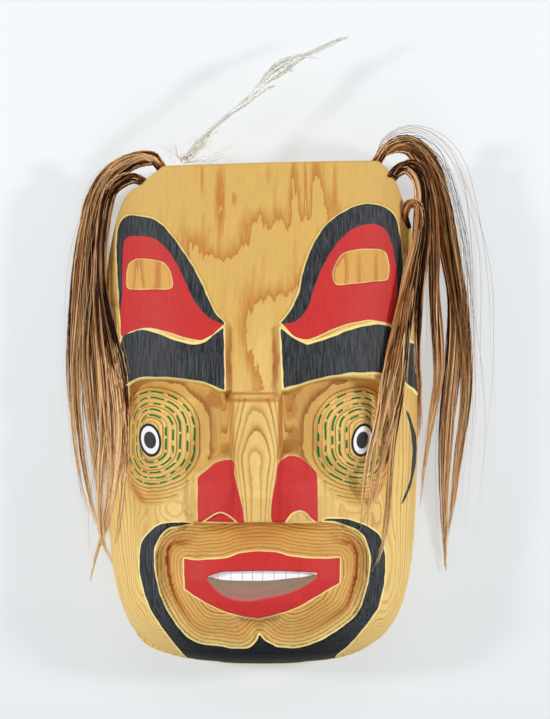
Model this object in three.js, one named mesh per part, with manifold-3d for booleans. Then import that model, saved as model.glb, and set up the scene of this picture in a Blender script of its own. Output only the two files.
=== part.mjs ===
// A carved and painted wooden face mask with horsehair locks and one feather, in millimetres.
// It lies on the flat rim of its hollow back: the face looks up along +Z and the forehead is at +Y.
// The face is drawn in mask coordinates: x = 0 on its middle line, y = 0 just below the chin,
// z = 0 on the plane of the rim. The group at the end moves the origin under the middle of its box.
import * as THREE from "three";
import { mergeVertices } from "three/addons/utils/BufferGeometryUtils.js";
import Module from "manifold-3d";

const wasm = await Module();
wasm.setup();

// The board: its sawn outline, the height of its sawn edge and the arch of its front.
const HALF_WIDTH = 102;
const JAW_HALF_WIDTH = 97;
const JAW_Y = 130;
const CHIN_Y = 1.5;
const JAW_POWER = 3.8;
const SHOULDER_Y = 240;
const EDGE_HEIGHT = 18;
const ARCH_POWER = 2.5;
const CHIN_POWER = 6;
const TOP_LEFT = new THREE.Vector2(-63, 322.6);
const TOP_RIGHT = new THREE.Vector2(75, 326.3);
const LEFT_SHOULDER = [[-97, 275], [-89, 301], [-76, 312.5]];
const RIGHT_SHOULDER = [[97, 280], [90.5, 302], [84, 317]];

// The height of the front along the middle line, from the top edge down to the chin.
const CROWN = [[326, 66], [260, 75], [200, 81], [130, 84], [60, 84], [10, 92]];

// Carving on the front. Ears, brows, eyes and nose lie about a line a little left of the board's middle.
const FACE_X = -3.5;
const STEP_UP = 2;
const BEVEL = 3;
const EYE_X = 67.5;
const EYE_Y = 147;
const EYE_RADIUS = 34;
const EYE_PROUD = 3;
const SOCKET_X = 63;
const SOCKET_RADIUS = 42;
const SOCKET_DEPTH = 14;
const BRIDGE = { tipY: 95, tipZ: 104, rootY: 175, rootZ: 80, halfWidth: 12, slope: 1.9 };
const WING = { halfWidth: 37, topY: 138, rise: 9, sideSlope: 1.1, topSlope: 1.6 };
const MUZZLE = { halfWidth: 58, top: 96, middle: 58, bottom: 12, power: 2.6, shoulder: 0.845, outer: 1.19 };
const MUZZLE_LINE = [[96, 76], [77, 94], [60, 95], [46, 93], [36, 88], [24, 78], [12, 66]];
const MUZZLE_CURVE = 14;
const GROOVE_DEPTH = 22;
const LIPS = { halfWidth: 50, top: 76, middle: 60, bottom: 36, rise: 1.5 };
const MOUTH = { halfWidth: 35, top: 66, middle: 60, bottom: 47, depth: 7 };

// The hollow behind the face.
const HOLLOW_SCALE = [0.885, 0.93];
const HOLLOW_MIDDLE_Y = 163;
const FRONT_THICKNESS = 25;
const HOLLOW_TOP = [255, 314];
const NOSE_HOLLOW = { y: 100, halfWidth: 22, halfLength: 45, depth: 14 };
const BELOW = 5;

// Steps of the meshes.
const FACE_STEPS = [44, 66];
const HOLLOW_STEPS = [18, 28];
const LOCK_STEPS = [8, 16];
const FEATHER_STEPS = [6, 14];

const lerp = THREE.MathUtils.lerp;
const smooth = (low, high, value) => THREE.MathUtils.smoothstep(value, low, high);
const outlineAt = (points) => new THREE.SplineCurve(points.map(([x, y]) => new THREE.Vector2(x, y)));

// Reads a list of [position, value] knots, in falling order of position, with straight runs between.
function readProfile(knots, position) {
  for (let i = 1; i < knots.length; i += 1) {
    const [p0, v0] = knots[i - 1];
    const [p1, v1] = knots[i];
    if (position >= p1) return lerp(v1, v0, Math.min(1, (position - p1) / (p0 - p1)));
  }
  return knots[knots.length - 1][1];
}

function halfWidth(y) {
  return lerp(JAW_HALF_WIDTH, HALF_WIDTH, smooth(0, 190, y));
}

// 0 on the middle line and 1 on the sawn side or chin edge.
function edgeRatio(x, y) {
  const side = Math.abs(x) / halfWidth(y);
  const jaw = Math.max(0, JAW_Y - y) / (JAW_Y - CHIN_Y);
  return (side ** JAW_POWER + jaw ** JAW_POWER) ** (1 / JAW_POWER);
}

// The plain arched front before any carving.
function archHeight(x, y) {
  const side = Math.abs(x) / halfWidth(y);
  const jaw = Math.max(0, JAW_Y - y) / (JAW_Y - CHIN_Y);
  const rise = Math.sqrt(Math.max(0, 1 - side ** ARCH_POWER - jaw ** CHIN_POWER));
  return EDGE_HEIGHT + (readProfile(CROWN, y) - EDGE_HEIGHT) * rise;
}

// 1 inside a closed outline, 0 outside it, with a bevel between.
function insideOutline(outline, x, y) {
  let nearest = Infinity;
  let inside = false;
  outline.forEach((a, i) => {
    const b = outline[(i + 1) % outline.length];
    const along = ((x - a.x) * (b.x - a.x) + (y - a.y) * (b.y - a.y)) / a.distanceToSquared(b);
    const t = THREE.MathUtils.clamp(along, 0, 1);
    nearest = Math.min(nearest, Math.hypot(x - lerp(a.x, b.x, t), y - lerp(a.y, b.y, t)));
    if (a.y > y !== b.y > y && x < ((b.x - a.x) * (y - a.y)) / (b.y - a.y) + a.x) inside = !inside;
  });
  return smooth(-BEVEL / 2, BEVEL / 2, inside ? nearest : -nearest);
}

// An ear form on the forehead, drawn for the right side from the face's line; the left one mirrors it.
const EAR = outlineAt([
  [17, 221], [25, 234], [31, 258], [39, 277], [53, 289], [72, 294],
  [86, 289], [93, 268], [94, 232], [87, 212], [63, 205], [34, 209],
]).getPoints(40);

// A brow band over each eye, in the same way.
const BROW = outlineAt([
  [17, 219], [25, 211], [34, 208], [51, 215], [75, 219], [90, 216], [98, 206],
  [97, 182], [87, 188], [63, 189], [39, 186], [18, 180],
]).getPoints(40);

// Distance from the middle of a lens-like shape, 1 on its edge, with its own upper and lower half.
function lensRatio(shape, x, y, power) {
  const up = y > shape.middle ? shape.top - shape.middle : shape.middle - shape.bottom;
  const across = Math.abs(x) / shape.halfWidth;
  return (across ** power + (Math.abs(y - shape.middle) / up) ** power) ** (1 / power);
}

// A round socket under each brow, with a blunt cone for an eyeball.
function eyeRelief(side, y) {
  const socket = 1 - smooth(0.72, 1.02, Math.hypot(side - SOCKET_X, y - EYE_Y) / SOCKET_RADIUS);
  const ball = Math.max(0, 1 - Math.hypot(side - EYE_X, y - EYE_Y) / EYE_RADIUS);
  return socket * (ball * (SOCKET_DEPTH + EYE_PROUD) - SOCKET_DEPTH);
}

// The nose as a height of its own: a bridge with steep sides and a wing on each side with sloping edges.
function noseHeight(x, y) {
  const side = Math.abs(x - FACE_X);
  const up = (y - BRIDGE.tipY) / (BRIDGE.rootY - BRIDGE.tipY);
  const bridge = lerp(BRIDGE.tipZ, BRIDGE.rootZ, up) - BRIDGE.slope * Math.max(0, side - BRIDGE.halfWidth);
  const pastSide = Math.max(0, side - WING.halfWidth);
  const pastTop = Math.max(0, y + 0.2 * side - WING.topY);
  const wing = archHeight(x, y) + WING.rise - WING.sideSlope * pastSide - WING.topSlope * pastTop;
  return Math.max(bridge, wing);
}

// The muzzle swells from a curved groove on each side to the flat lips.
function muzzleHeight(x, y) {
  const across = Math.abs(x) / MUZZLE.halfWidth;
  const down = Math.max(0, MUZZLE.middle - y) / (MUZZLE.middle - MUZZLE.bottom);
  const ratio = (across ** MUZZLE.power + down ** MUZZLE.power) ** (1 / MUZZLE.power);
  const grooveShare = smooth(8, 45, Math.abs(x)) * smooth(35, 62, y) * (1 - smooth(80, 92, y));
  const roundOff = MUZZLE_CURVE * Math.min(1, across / MUZZLE.shoulder) ** 2;
  const wall = GROOVE_DEPTH * grooveShare * smooth(MUZZLE.shoulder, 1, ratio);
  const inner = readProfile(MUZZLE_LINE, y) - roundOff - wall;
  return lerp(inner, archHeight(x, y), smooth(1, MUZZLE.outer, ratio));
}

function mouthRelief(x, y) {
  const lips = LIPS.rise * (1 - smooth(0.9, 1.02, lensRatio(LIPS, x, y, 1.7)));
  const mouth = MOUTH.depth * (1 - smooth(0.7, 1.05, lensRatio(MOUTH, x, y, 2)));
  return lips - mouth;
}

// The carved front.
function faceHeight(x, y) {
  const side = Math.abs(x - FACE_X);
  const steps = STEP_UP * (insideOutline(EAR, side, y) + insideOutline(BROW, side, y));
  const cheek = archHeight(x, y) + steps + eyeRelief(side, y);
  const face = lerp(muzzleHeight(x, y) + mouthRelief(x, y), cheek, smooth(MUZZLE.top - 3, MUZZLE.top, y));
  const underNose = smooth(BRIDGE.tipY - 1, BRIDGE.tipY + 3, y);
  const root = 1 - smooth(BRIDGE.rootY, BRIDGE.rootY + 6, y);
  return lerp(face, Math.max(face, noseHeight(x, y)), underNose * root);
}

// The sawn outline as four runs: chin, left side, right side and the straight top edge.
function jawPoint(angle) {
  const across = Math.cos(angle);
  const down = Math.sin(angle);
  const y = JAW_Y - (JAW_Y - CHIN_Y) * Math.abs(down) ** (2 / JAW_POWER);
  return new THREE.Vector2(Math.sign(across) * halfWidth(y) * Math.abs(across) ** (2 / JAW_POWER), y);
}

function sideRun(sign, shoulder, top) {
  const cheek = Array.from({ length: 10 }, (_, i) => jawPoint((Math.PI / 4) * (1 - i / 9)));
  const points = cheek.map((p) => new THREE.Vector2(sign * p.x, p.y));
  for (const y of [165, 200, SHOULDER_Y]) points.push(new THREE.Vector2(sign * halfWidth(y), y));
  for (const [x, y] of shoulder) points.push(new THREE.Vector2(x, y));
  points.push(top);
  return new THREE.SplineCurve(points);
}

const chinPoints = Array.from({ length: 25 }, (_, i) => jawPoint(Math.PI * (0.75 - 0.5 * (i / 24))));
const chinRun = new THREE.SplineCurve(chinPoints);
const leftRun = sideRun(-1, LEFT_SHOULDER, TOP_LEFT);
const rightRun = sideRun(1, RIGHT_SHOULDER, TOP_RIGHT);

// A place on the board from two shares, 0 to 1: across from the left side, and up from the chin.
function boardPoint(across, up) {
  const left = leftRun.getPointAt(up);
  const right = rightRun.getPointAt(up);
  const low = chinRun.getPointAt(across);
  const high = TOP_LEFT.clone().lerp(TOP_RIGHT, across);
  const rows = left.clone().lerp(right, across);
  const columns = low.clone().lerp(high, up);
  const lowChord = leftRun.getPointAt(0).lerp(rightRun.getPointAt(0), across);
  return rows.add(columns).sub(lowChord.lerp(high, up));
}

function toManifold(geometry) {
  const bare = geometry.clone();
  bare.deleteAttribute("normal");
  bare.deleteAttribute("uv");
  const merged = mergeVertices(bare, 1e-4);
  const vertProperties = new Float32Array(merged.attributes.position.array);
  const triVerts = new Uint32Array(merged.index.array);
  return new wasm.Manifold(new wasm.Mesh({ numProp: 3, vertProperties, triVerts }));
}

function fromManifold(solid) {
  const mesh = solid.getMesh();
  const geometry = new THREE.BufferGeometry();
  geometry.setAttribute("position", new THREE.BufferAttribute(new Float32Array(mesh.vertProperties), 3));
  geometry.setIndex(new THREE.BufferAttribute(new Uint32Array(mesh.triVerts), 1));
  geometry.computeVertexNormals();
  return geometry;
}

// Bends a box over the board: its top face takes the height that the function gives, its base is flat.
function boardSolid(steps, place, height, base) {
  const geometry = new THREE.BoxGeometry(1, 1, 1, steps[0], steps[1], 1);
  const position = geometry.attributes.position;
  for (let i = 0; i < position.count; i += 1) {
    const point = place(position.getX(i) + 0.5, position.getY(i) + 0.5);
    const z = position.getZ(i) > 0 ? height(point.x, point.y) : base;
    position.setXYZ(i, point.x, point.y, z);
  }
  return geometry;
}

function hollowPoint(across, up) {
  const point = boardPoint(across, up);
  const y = HOLLOW_MIDDLE_Y + (point.y - HOLLOW_MIDDLE_Y) * HOLLOW_SCALE[1];
  return new THREE.Vector2(point.x * HOLLOW_SCALE[0], y);
}

function hollowHeight(x, y) {
  const ratio = edgeRatio(x / HOLLOW_SCALE[0], HOLLOW_MIDDLE_Y + (y - HOLLOW_MIDDLE_Y) / HOLLOW_SCALE[1]);
  const top = Math.max(0, (y - HOLLOW_TOP[0]) / (HOLLOW_TOP[1] - HOLLOW_TOP[0]));
  const whole = Math.min(1, (ratio ** JAW_POWER + top ** JAW_POWER) ** (1 / JAW_POWER));
  const across = (x - FACE_X) / NOSE_HOLLOW.halfWidth;
  const up = (y - NOSE_HOLLOW.y) / NOSE_HOLLOW.halfLength;
  const behindNose = NOSE_HOLLOW.depth * Math.exp(-(across ** 2) - up ** 2);
  return (readProfile(CROWN, y) - FRONT_THICKNESS + behindNose) * Math.sqrt(1 - whole ** ARCH_POWER);
}

// The board starts a little below the rim's plane and is planed flat there after hollowing.
function maskBody() {
  const board = toManifold(boardSolid(FACE_STEPS, boardPoint, faceHeight, -BELOW));
  const hollow = toManifold(boardSolid(HOLLOW_STEPS, hollowPoint, hollowHeight, -2 * BELOW));
  const plane = new THREE.BoxGeometry(4 * HALF_WIDTH, 8 * HALF_WIDTH, 4 * BELOW).translate(0, 0, -2 * BELOW);
  return fromManifold(board.subtract(hollow).subtract(toManifold(plane)));
}

// A closed, tapering body along a route: knots are [x, y, z, half width, half thickness].
function taperedSweep(knots, [sides, steps]) {
  const route = new THREE.CatmullRomCurve3(knots.map(([x, y, z]) => new THREE.Vector3(x, y, z)));
  const sizes = new THREE.CatmullRomCurve3(knots.map((knot) => new THREE.Vector3(knot[3], knot[4], 0)));
  const geometry = new THREE.CylinderGeometry(1, 1, 1, sides, steps);
  const position = geometry.attributes.position;
  for (let i = 0; i < position.count; i += 1) {
    const share = 0.5 - position.getY(i);
    const centre = route.getPoint(share);
    const ahead = route.getTangent(share);
    const across = new THREE.Vector3(0, 0, 1).cross(ahead).normalize();
    const raise = ahead.clone().cross(across);
    const size = sizes.getPoint(share);
    centre.addScaledVector(across, position.getX(i) * size.x);
    centre.addScaledVector(raise, position.getZ(i) * size.y);
    position.setXYZ(i, centre.x, centre.y, centre.z);
  }
  return geometry;
}

// Locks of hair: each is plugged in the sawn edge at a corner and falls beside the mask, or over it.
const LOCKS = {
  hair_left_upper: [
    [-68.5, 322, 48, 4, 5], [-80, 330, 40, 5, 6], [-100, 321, 20, 7, 7],
    [-112, 298, 9, 9, 7], [-114.5, 245, 8, 10, 7], [-115, 190, 8, 10, 7],
    [-113, 130, 7, 8, 6], [-107, 86, 5, 3, 3], [-103, 58, 3, 1, 1],
  ],
  hair_left_lower: [
    [-86.5, 311, 44, 4, 4], [-95, 310.5, 44, 4, 4], [-103, 298, 42, 4, 4],
    [-106, 270, 36, 4, 5], [-108, 215, 30, 4, 5], [-108, 165, 28, 4, 5],
    [-106, 120, 27, 3, 4], [-108, 70, 24, 1.5, 1.5], [-112, 50, 22, 1, 1],
  ],
  hair_right_upper: [
    [79.5, 327.5, 48, 4, 5], [92, 338, 40, 5, 6], [108, 328, 20, 7, 7],
    [118, 298, 10, 9, 7], [125, 250, 9, 8, 7], [128, 190, 9, 9, 7],
    [125, 130, 8, 7, 6], [121, 90, 5, 4, 4], [119.5, 62, 3, 1, 1],
  ],
  hair_right_middle: [
    [88.5, 315, 46, 4, 4], [99, 317, 46, 5, 4], [107, 304, 40, 5, 5],
    [108.5, 270, 34, 5, 5], [108.5, 220, 30, 5, 5], [111, 175, 27, 5, 5],
    [110, 135, 24, 3, 4], [105.5, 95, 22, 2, 2], [103, 72, 20, 1, 1],
  ],
  hair_right_lower: [
    [96.8, 293, 48, 3, 3], [100, 285, 51, 3, 3], [97, 262, 54, 4, 3],
    [93, 236, 60, 4, 3], [88, 200, 66, 4, 3], [83, 168, 68, 4, 3],
    [79, 140, 70, 3, 3], [76, 112, 71.5, 1.5, 1.5], [72, 84, 69.5, 1, 1],
  ],
};

const FEATHER = [
  [-49, 327.5, 40, 1, 0.8], [-45, 338, 40, 1.4, 0.8], [-30, 353, 39, 1.8, 0.8], [-8, 370, 37, 2.5, 0.8],
  [12, 386, 35, 3, 0.8], [32, 397, 33, 2.2, 0.8], [46, 404, 32, 1.4, 0.7], [57.5, 407.5, 31, 0.7, 0.6],
];

const wood = new THREE.MeshStandardMaterial({ color: 0xe6c274, roughness: 0.6, metalness: 0 });
const hair = new THREE.MeshStandardMaterial({ color: 0x6b4428, roughness: 0.5, metalness: 0 });
const down = new THREE.MeshStandardMaterial({ color: 0xe9e6dd, roughness: 0.8, metalness: 0 });

function named(name, geometry, material) {
  const mesh = new THREE.Mesh(geometry, material);
  mesh.name = name;
  return mesh;
}

const mask = new THREE.Group();
mask.add(named("mask_body", maskBody(), wood));
for (const [name, knots] of Object.entries(LOCKS)) {
  mask.add(named(name, taperedSweep(knots, LOCK_STEPS), hair));
}
mask.add(named("feather", taperedSweep(FEATHER, FEATHER_STEPS), down));

// The origin goes under the middle of the whole mask, on the plane that it lies on.
const box = new THREE.Box3().setFromObject(mask);
const middle = box.getCenter(new THREE.Vector3());
mask.position.set(-middle.x, -middle.y, -box.min.z);

const part = new THREE.Group();
part.add(mask);

export default part;
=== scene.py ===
# A carved and painted wooden face mask with locks of horsehair and one feather, lying on a pale floor.
# Mask coordinates are millimetres: x = 0 on the board's middle line, y = 0 just below the chin and
# z = 0 on the plane of the flat back rim.
import math

import bmesh
import bpy
import numpy as np
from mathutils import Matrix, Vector
from mathutils.bvhtree import BVHTree


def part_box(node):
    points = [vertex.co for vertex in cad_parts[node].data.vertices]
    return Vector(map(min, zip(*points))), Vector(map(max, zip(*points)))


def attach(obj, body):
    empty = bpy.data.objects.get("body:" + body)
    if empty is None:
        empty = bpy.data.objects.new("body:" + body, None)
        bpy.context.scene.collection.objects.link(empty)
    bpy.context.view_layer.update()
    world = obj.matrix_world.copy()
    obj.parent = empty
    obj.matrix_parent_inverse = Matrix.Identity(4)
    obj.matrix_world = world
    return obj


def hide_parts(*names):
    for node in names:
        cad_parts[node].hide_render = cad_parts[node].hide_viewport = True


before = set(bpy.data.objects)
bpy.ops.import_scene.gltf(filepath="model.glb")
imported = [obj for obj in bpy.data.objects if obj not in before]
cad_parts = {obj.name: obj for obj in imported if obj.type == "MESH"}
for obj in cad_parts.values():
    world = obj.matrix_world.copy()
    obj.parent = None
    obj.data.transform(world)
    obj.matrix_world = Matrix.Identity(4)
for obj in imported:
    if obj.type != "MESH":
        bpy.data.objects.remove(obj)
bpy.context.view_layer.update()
scene = bpy.context.scene
MM = 0.001

# The board, as the solid has it.
BOARD_SIZE = (204, 330)
BOARD_MIDDLE = (0, 165)
HALF_WIDTH = 102
JAW_HALF_WIDTH = 97
WIDEST_Y = 190
JAW_Y = 130
CHIN_Y = 1.5
JAW_POWER = 3.8
CHIN_CORNER = (-75, 16)
CHIN_CORNER_SHIFT = (-2.4, -1.6)
CHIN_CORNER_REACH = 14
SHOULDER_Y = 240
EDGE_HEIGHT = 18
ARCH_POWER = 2.5
CHIN_POWER = 6
TOP_LEFT = (-63, 322.6)
TOP_RIGHT = (75, 326.3)
LEFT_SHOULDER = [(-97, 275), (-89, 301), (-76, 312.5)]
RIGHT_SHOULDER = [(97, 280), (90.5, 302), (84, 317)]
CROWN = [(326, 66), (260, 75), (200, 81), (130, 84), (60, 84), (10, 92)]
HOLLOW_SCALE = (0.885, 0.93)
HOLLOW_MIDDLE_Y = 163
FRONT_THICKNESS = 25
HOLLOW_TOP = (255, 314)
GOUGE_WIDTH = 9.5
GOUGE_STROKE = 34
GOUGE_DEPTH = (0.9, 0.5)
NOSE_HOLLOW = {"y": 100, "half_width": 22, "half_length": 45, "depth": 14}

# Carving on the front. In the formulas further down, a bare number in smooth is where a form starts or
# ends, in mask millimetres, and one before it is how much it adds.
FACE_X = -3.4
RING_SPACING = 1.9
FIGURE_RADIUS = 120 * RING_SPACING - 1.3
EYE_RINGS = 33
EYE_RING_WIDTH = 2.9
FAR_EYE_RING_WIDTH = 12
MORE_RINGS_BELOW = 14
MUZZLE_RINGS = 2.3
LIP_RINGS = 2.1
LIP_RINGS_FROM = (45, 68)
SOFTENING = 4
FIGURE_FADE = (9, 6)
NOSE_ARCHES = {"first": 0.4, "per_mm": 0.075, "from_y": 138, "curve": 3}
ARRIS = 0.8
EDGE_BAND = 2
EAR_RISE = 2.0
EAR_BEVEL = 1.5
BROW_RISE = 2.6
BROW_BEVEL = 1.6
BARE_DEPTH = 0.9
EYE_SIDE = 67.7
EYE_Y = 147.5
EYE_PROUD = 3.0
EYE_SLOPE = 0.44
EYE_FLAT = 5.0
EYE_TALL = (0.95, 3)
EYE_REACH = 60
OUTER_SQUEEZE = 1.7
ABOVE_EYE = (1.2, 8.8)
BELOW_EYE = (1.286, 7.8)
SOCKET_DEPTH = 14
SOCKET_WALL = (3, 17)
BROW_UNDERSIDE = 1.8
PITH = (-3, -150)
TILT = 0.115
TILT_FROM = 170
STRIP_DEPTH = 1.5
STRIP_X = -6.1
NOTCH_Y = 175
BRIDGE = {"tip_y": 95.5, "tip_z": 104, "root_y": 175, "root_z": 80.5, "round": 2.5}
BRIDGE_EDGE = [(177, 15.1), (135, 13.2), (110, 9.8), (96, 8.0)]
MUZZLE_TOP = 96
MUZZLE_LINE = [(96, 76), (77, 94), (60, 95), (46, 93), (36, 88), (24, 78), (12, 66)]
MUZZLE_CURVE = 12
CHIN_SKIRT = [(40, 112), (20, 88), (12, 78), (0, 69)]
SIDE_GROOVE = [(40, 112), (20, 85), (12, 80), (10.7, 77.5), (7.2, 66), (6, 65), (3, 66.3), (0, 67.5)]
GROOVE = (8.6, 2.0)
LIP_RISE = 1.2
TEETH_DEPTH = 6
NOSTRIL_DEPTH = 2.5
NOTCH_DEPTH = 1.8
NOTCH_HALF_HEIGHT = 1.6
BEARD_DEPTH = 0.7
WING_TOP = 92
# How far from an outline its distance is measured.
FAR = 12.0
MUZZLE_FAR = 40
FIGURE_FAR = 60
ABOVE_ALL = 200
FRONT_STEPS = (226, 366)
HOLLOW_STEPS = (84, 136)

body_low, body_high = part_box("mask_body")
ORIGIN = np.array([(body_low.x + body_high.x) / 2, body_low.y - CHIN_Y * MM, 0.0])


def to_row(points):
    """Mask millimetres to metres in the part's frame."""
    return np.asarray(points, float) * MM + ORIGIN


def smooth(low, high, value):
    t = np.clip((np.asarray(value, float) - low) / (high - low), 0, 1)
    return t * t * (3 - 2 * t)


def profile(knots, position):
    """Reads a list of (position, value) knots, given in falling order of position."""
    rising = np.array(knots[::-1], float)
    return np.interp(position, rising[:, 0], rising[:, 1])


def spline(knots, per_span=12):
    """Close points of a smooth line through the knots."""
    knots = np.asarray(knots, float)
    padded = np.vstack([knots[:1], knots, knots[-1:]])
    t = np.linspace(0, 1, per_span, endpoint=False)[:, None]
    spans = []
    for a, b, c, d in zip(padded, padded[1:], padded[2:], padded[3:]):
        leave, arrive = (c - a) / 2, (d - b) / 2
        square = 3 * (c - b) - 2 * leave - arrive
        cube = 2 * (b - c) + leave + arrive
        spans.append(b + leave * t + square * t**2 + cube * t**3)
    return np.vstack([*spans, knots[-1:]])


def along(line, share):
    """Points at shares, 0 to 1, of the line's length."""
    steps = np.linalg.norm(np.diff(line, axis=0), axis=1)
    travelled = np.concatenate([[0], np.cumsum(steps)])
    wanted = np.asarray(share) * travelled[-1]
    return np.stack([np.interp(wanted, travelled, line[:, i]) for i in range(line.shape[1])], -1)


def outline(knots):
    """A closed smooth line through the knots. A knot that is given twice is a sharp corner."""
    knots = [tuple(knot) for knot in knots]
    corners = [i for i, knot in enumerate(knots) if knot == knots[i - 1]]
    if not corners:
        around = spline(knots[-1:] + knots + knots[:2], 6)
        return around[6:-7]
    knots = knots[corners[0]:] + knots[:corners[0]]
    runs = [[knots[0]]]
    for knot in knots[1:]:
        if knot == runs[-1][-1]:
            runs.append([])
        runs[-1].append(knot)
    return np.vstack([spline(run, 6)[:-1] for run in runs])


def outlines(*sides):
    return [outline(knots) for knots in sides]


def inside_mm(points, line, far=FAR):
    """How far each point is inside a closed line, in millimetres: below 0 outside it."""
    result = np.full(len(points), -far)
    close = np.all((points > line.min(0) - far) & (points < line.max(0) + far), axis=1)
    p = points[close]
    nearest = np.full(len(p), far**2)
    inside = np.zeros(len(p), bool)
    for a, b in zip(line, np.roll(line, -1, axis=0)):
        run = b - a
        if run @ run == 0:
            continue
        t = np.clip((p - a) @ run / (run @ run), 0, 1)
        gap = p - a - t[:, None] * run
        nearest = np.minimum(nearest, (gap**2).sum(1))
        if run[1] != 0:
            level = (a[1] > p[:, 1]) != (b[1] > p[:, 1])
            inside ^= level & (p[:, 0] < run[0] * (p[:, 1] - a[1]) / run[1] + a[0])
    result[close] = np.where(inside, 1, -1) * np.sqrt(nearest)
    return result


# Painted and carved outlines on the front, in mask millimetres.
EARS = outlines([
    (-23.5, 222), (-23.5, 222), (-30.5, 230), (-38.5, 248), (-47, 263), (-57, 277), (-66.5, 287),
    (-78, 290.5), (-89, 289.5), (-93.5, 275), (-92, 240), (-90, 214), (-90, 214), (-88.6, 214.2),
    (-77.5, 218.7), (-64.8, 218), (-52, 213.8), (-40, 211.2), (-35, 212.5), (-29, 216.3), (-24, 221),
], [
    (12, 222), (12, 222), (17.8, 229), (23.6, 241), (26.7, 255), (32, 270), (39.7, 282.5), (50.8, 292),
    (63, 297.5), (75, 297.5), (84.7, 292), (88.3, 280), (90.5, 262), (89.5, 246), (88, 225), (87, 219),
    (87, 219), (82, 221.6), (69.6, 224), (55, 221.6), (41, 216.3), (34, 213), (27.6, 211.5), (20, 214),
    (14, 220.5),
])
RED_FIELDS = outlines([
    (-24.5, 221), (-24.5, 221), (-34, 226), (-43.5, 237.5), (-52, 256), (-60.5, 269), (-69, 276),
    (-80.5, 278), (-87, 276.5), (-89, 270), (-89.5, 243), (-89, 213), (-60, 205), (-35, 205),
], [
    (13, 221.4), (13, 221.4), (21, 222.7), (29, 231), (33.4, 244.4), (40, 260.3), (50, 275), (60.6, 283.4),
    (71, 285.2), (78.5, 282.5), (83, 273.7), (86.5, 255), (87, 235), (86, 215), (60, 205), (20, 205),
])
BARE_PATCHES = outlines([
    (-86, 259), (-82.7, 262.3), (-77.6, 263.5), (-66, 262), (-60.6, 259), (-57.6, 253.8), (-56.3, 247.5),
    (-57, 244.5), (-61, 243.4), (-78, 243.4), (-85, 243.8), (-87, 248),
], [
    (45, 253.3), (46, 258), (49.5, 264), (54, 267.6), (61, 269), (71.4, 269.7), (77.6, 268.5), (80.5, 265),
    (81.7, 257), (81, 250.7), (76.8, 249), (59, 247), (49, 246), (46, 248),
])
BROWS = outlines([
    (-24, 219), (-24, 219), (-27.2, 217), (-32.3, 212.5), (-36.6, 209.3), (-42.5, 208.4), (-53.5, 210.4),
    (-68.8, 216.3), (-75.5, 217.5), (-83, 216.3), (-89, 213.3), (-91.6, 206.1), (-96, 200), (-103, 198),
    (-103, 176), (-90, 179.7), (-85.7, 183.2), (-80.6, 186.2), (-74.7, 187.7), (-57, 187.5), (-40, 185.3),
    (-33.2, 183.7), (-28, 181), (-23.4, 179.4), (-23.4, 179.4),
], [
    (12, 219), (12, 219), (16, 215.8), (21, 211.8), (26.7, 209.3), (31, 208.6), (43.4, 212.6),
    (58.7, 218.4), (67.5, 220.2), (75.5, 221.1), (84.4, 218.4), (95, 210), (103, 206), (103, 178),
    (97.4, 180.7), (85.3, 188.6), (72.9, 190.6), (55, 190.2), (37.3, 187), (22.2, 183), (14, 180.4),
    (14, 180.4),
])
WINGS = outlines([
    (-40.4, 96), (-40.4, 96), (-40.4, 123.6), (-40.4, 123.6), (-38.3, 126), (-33.3, 130), (-29, 133.5),
    (-24, 135.2), (-19, 135.4), (-17, 133), (-17.2, 128), (-15.8, 121), (-13.3, 111.4), (-11.5, 103.6),
    (-10.4, 96), (-10.4, 96),
], [
    (7, 96), (7, 96), (6.1, 99.3), (6.4, 107.9), (7.6, 116), (9.3, 125.7), (10.1, 131.4), (11.5, 134.3),
    (15.8, 137.3), (20, 137.9), (24.3, 136.8), (29.3, 132.9), (34.4, 127.8), (35.4, 124), (35.4, 124),
    (35.7, 96), (35.7, 96),
])
NOSTRILS = outlines([
    (-37.5, 95.8), (-37.5, 95.8), (-33.3, 98.6), (-29.7, 101), (-25.7, 102.4), (-21.8, 101), (-18.2, 98.6),
    (-15, 95.8), (-15, 95.8),
], [
    (15, 95.8), (15, 95.8), (19.3, 101.4), (24.3, 103.2), (27.9, 101.8), (30.8, 98.6), (34.4, 95.8),
    (34.4, 95.8),
])
LIPS = outline([
    (-49.1, 73), (-49.1, 73), (-39.7, 72.1), (-32.7, 73), (-23.3, 73.6), (-18.6, 75.1), (-13.8, 76.9),
    (-6.8, 77.8), (0.3, 78.1), (7.2, 77.7), (12, 76.9), (17.9, 75.1), (26.1, 74.2), (35.6, 73.3),
    (49.6, 73.3), (49.6, 73.3), (49.4, 57.7), (49.4, 57.7), (41.4, 53.4), (32, 48), (22.5, 42.8),
    (13.2, 39.2), (4.9, 36.9), (-1.5, 35.1), (-1.5, 35.1), (-9.1, 36.3), (-18.6, 38.5), (-26.8, 41.6),
    (-36.2, 46.3), (-43.2, 50.2), (-48.5, 54), (-48.5, 54),
])
TEETH = outline([
    (-34, 62.1), (-34, 62.1), (-25.7, 64.8), (-16.3, 65.4), (4.9, 65.7), (23.6, 65.2), (34.4, 64.5),
    (35, 63.7), (34.4, 63.1), (26.2, 61.6), (16.7, 60.7), (4.9, 59.5), (-6.8, 59.3), (-18.6, 59.5),
    (-26.8, 60.2),
])
MOUTH = outline([
    (-35, 61.5), (-35, 61.5), (-25.7, 64.8), (-16.3, 65.4), (4.9, 65.7), (23.6, 65.2), (35.2, 63.8),
    (35.2, 63.8), (35, 61), (28.5, 56.4), (19, 51.8), (10.8, 49.5), (2.6, 47.9), (-6.8, 46.2), (-14, 46.5),
    (-21, 48.2), (-28, 52.3), (-34.5, 59.5),
])
TOOTH_GAPS = [-27.5, -19.3, -12.1, -5.7, 0.8, 7.9, 15.4, 23.5]
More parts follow.
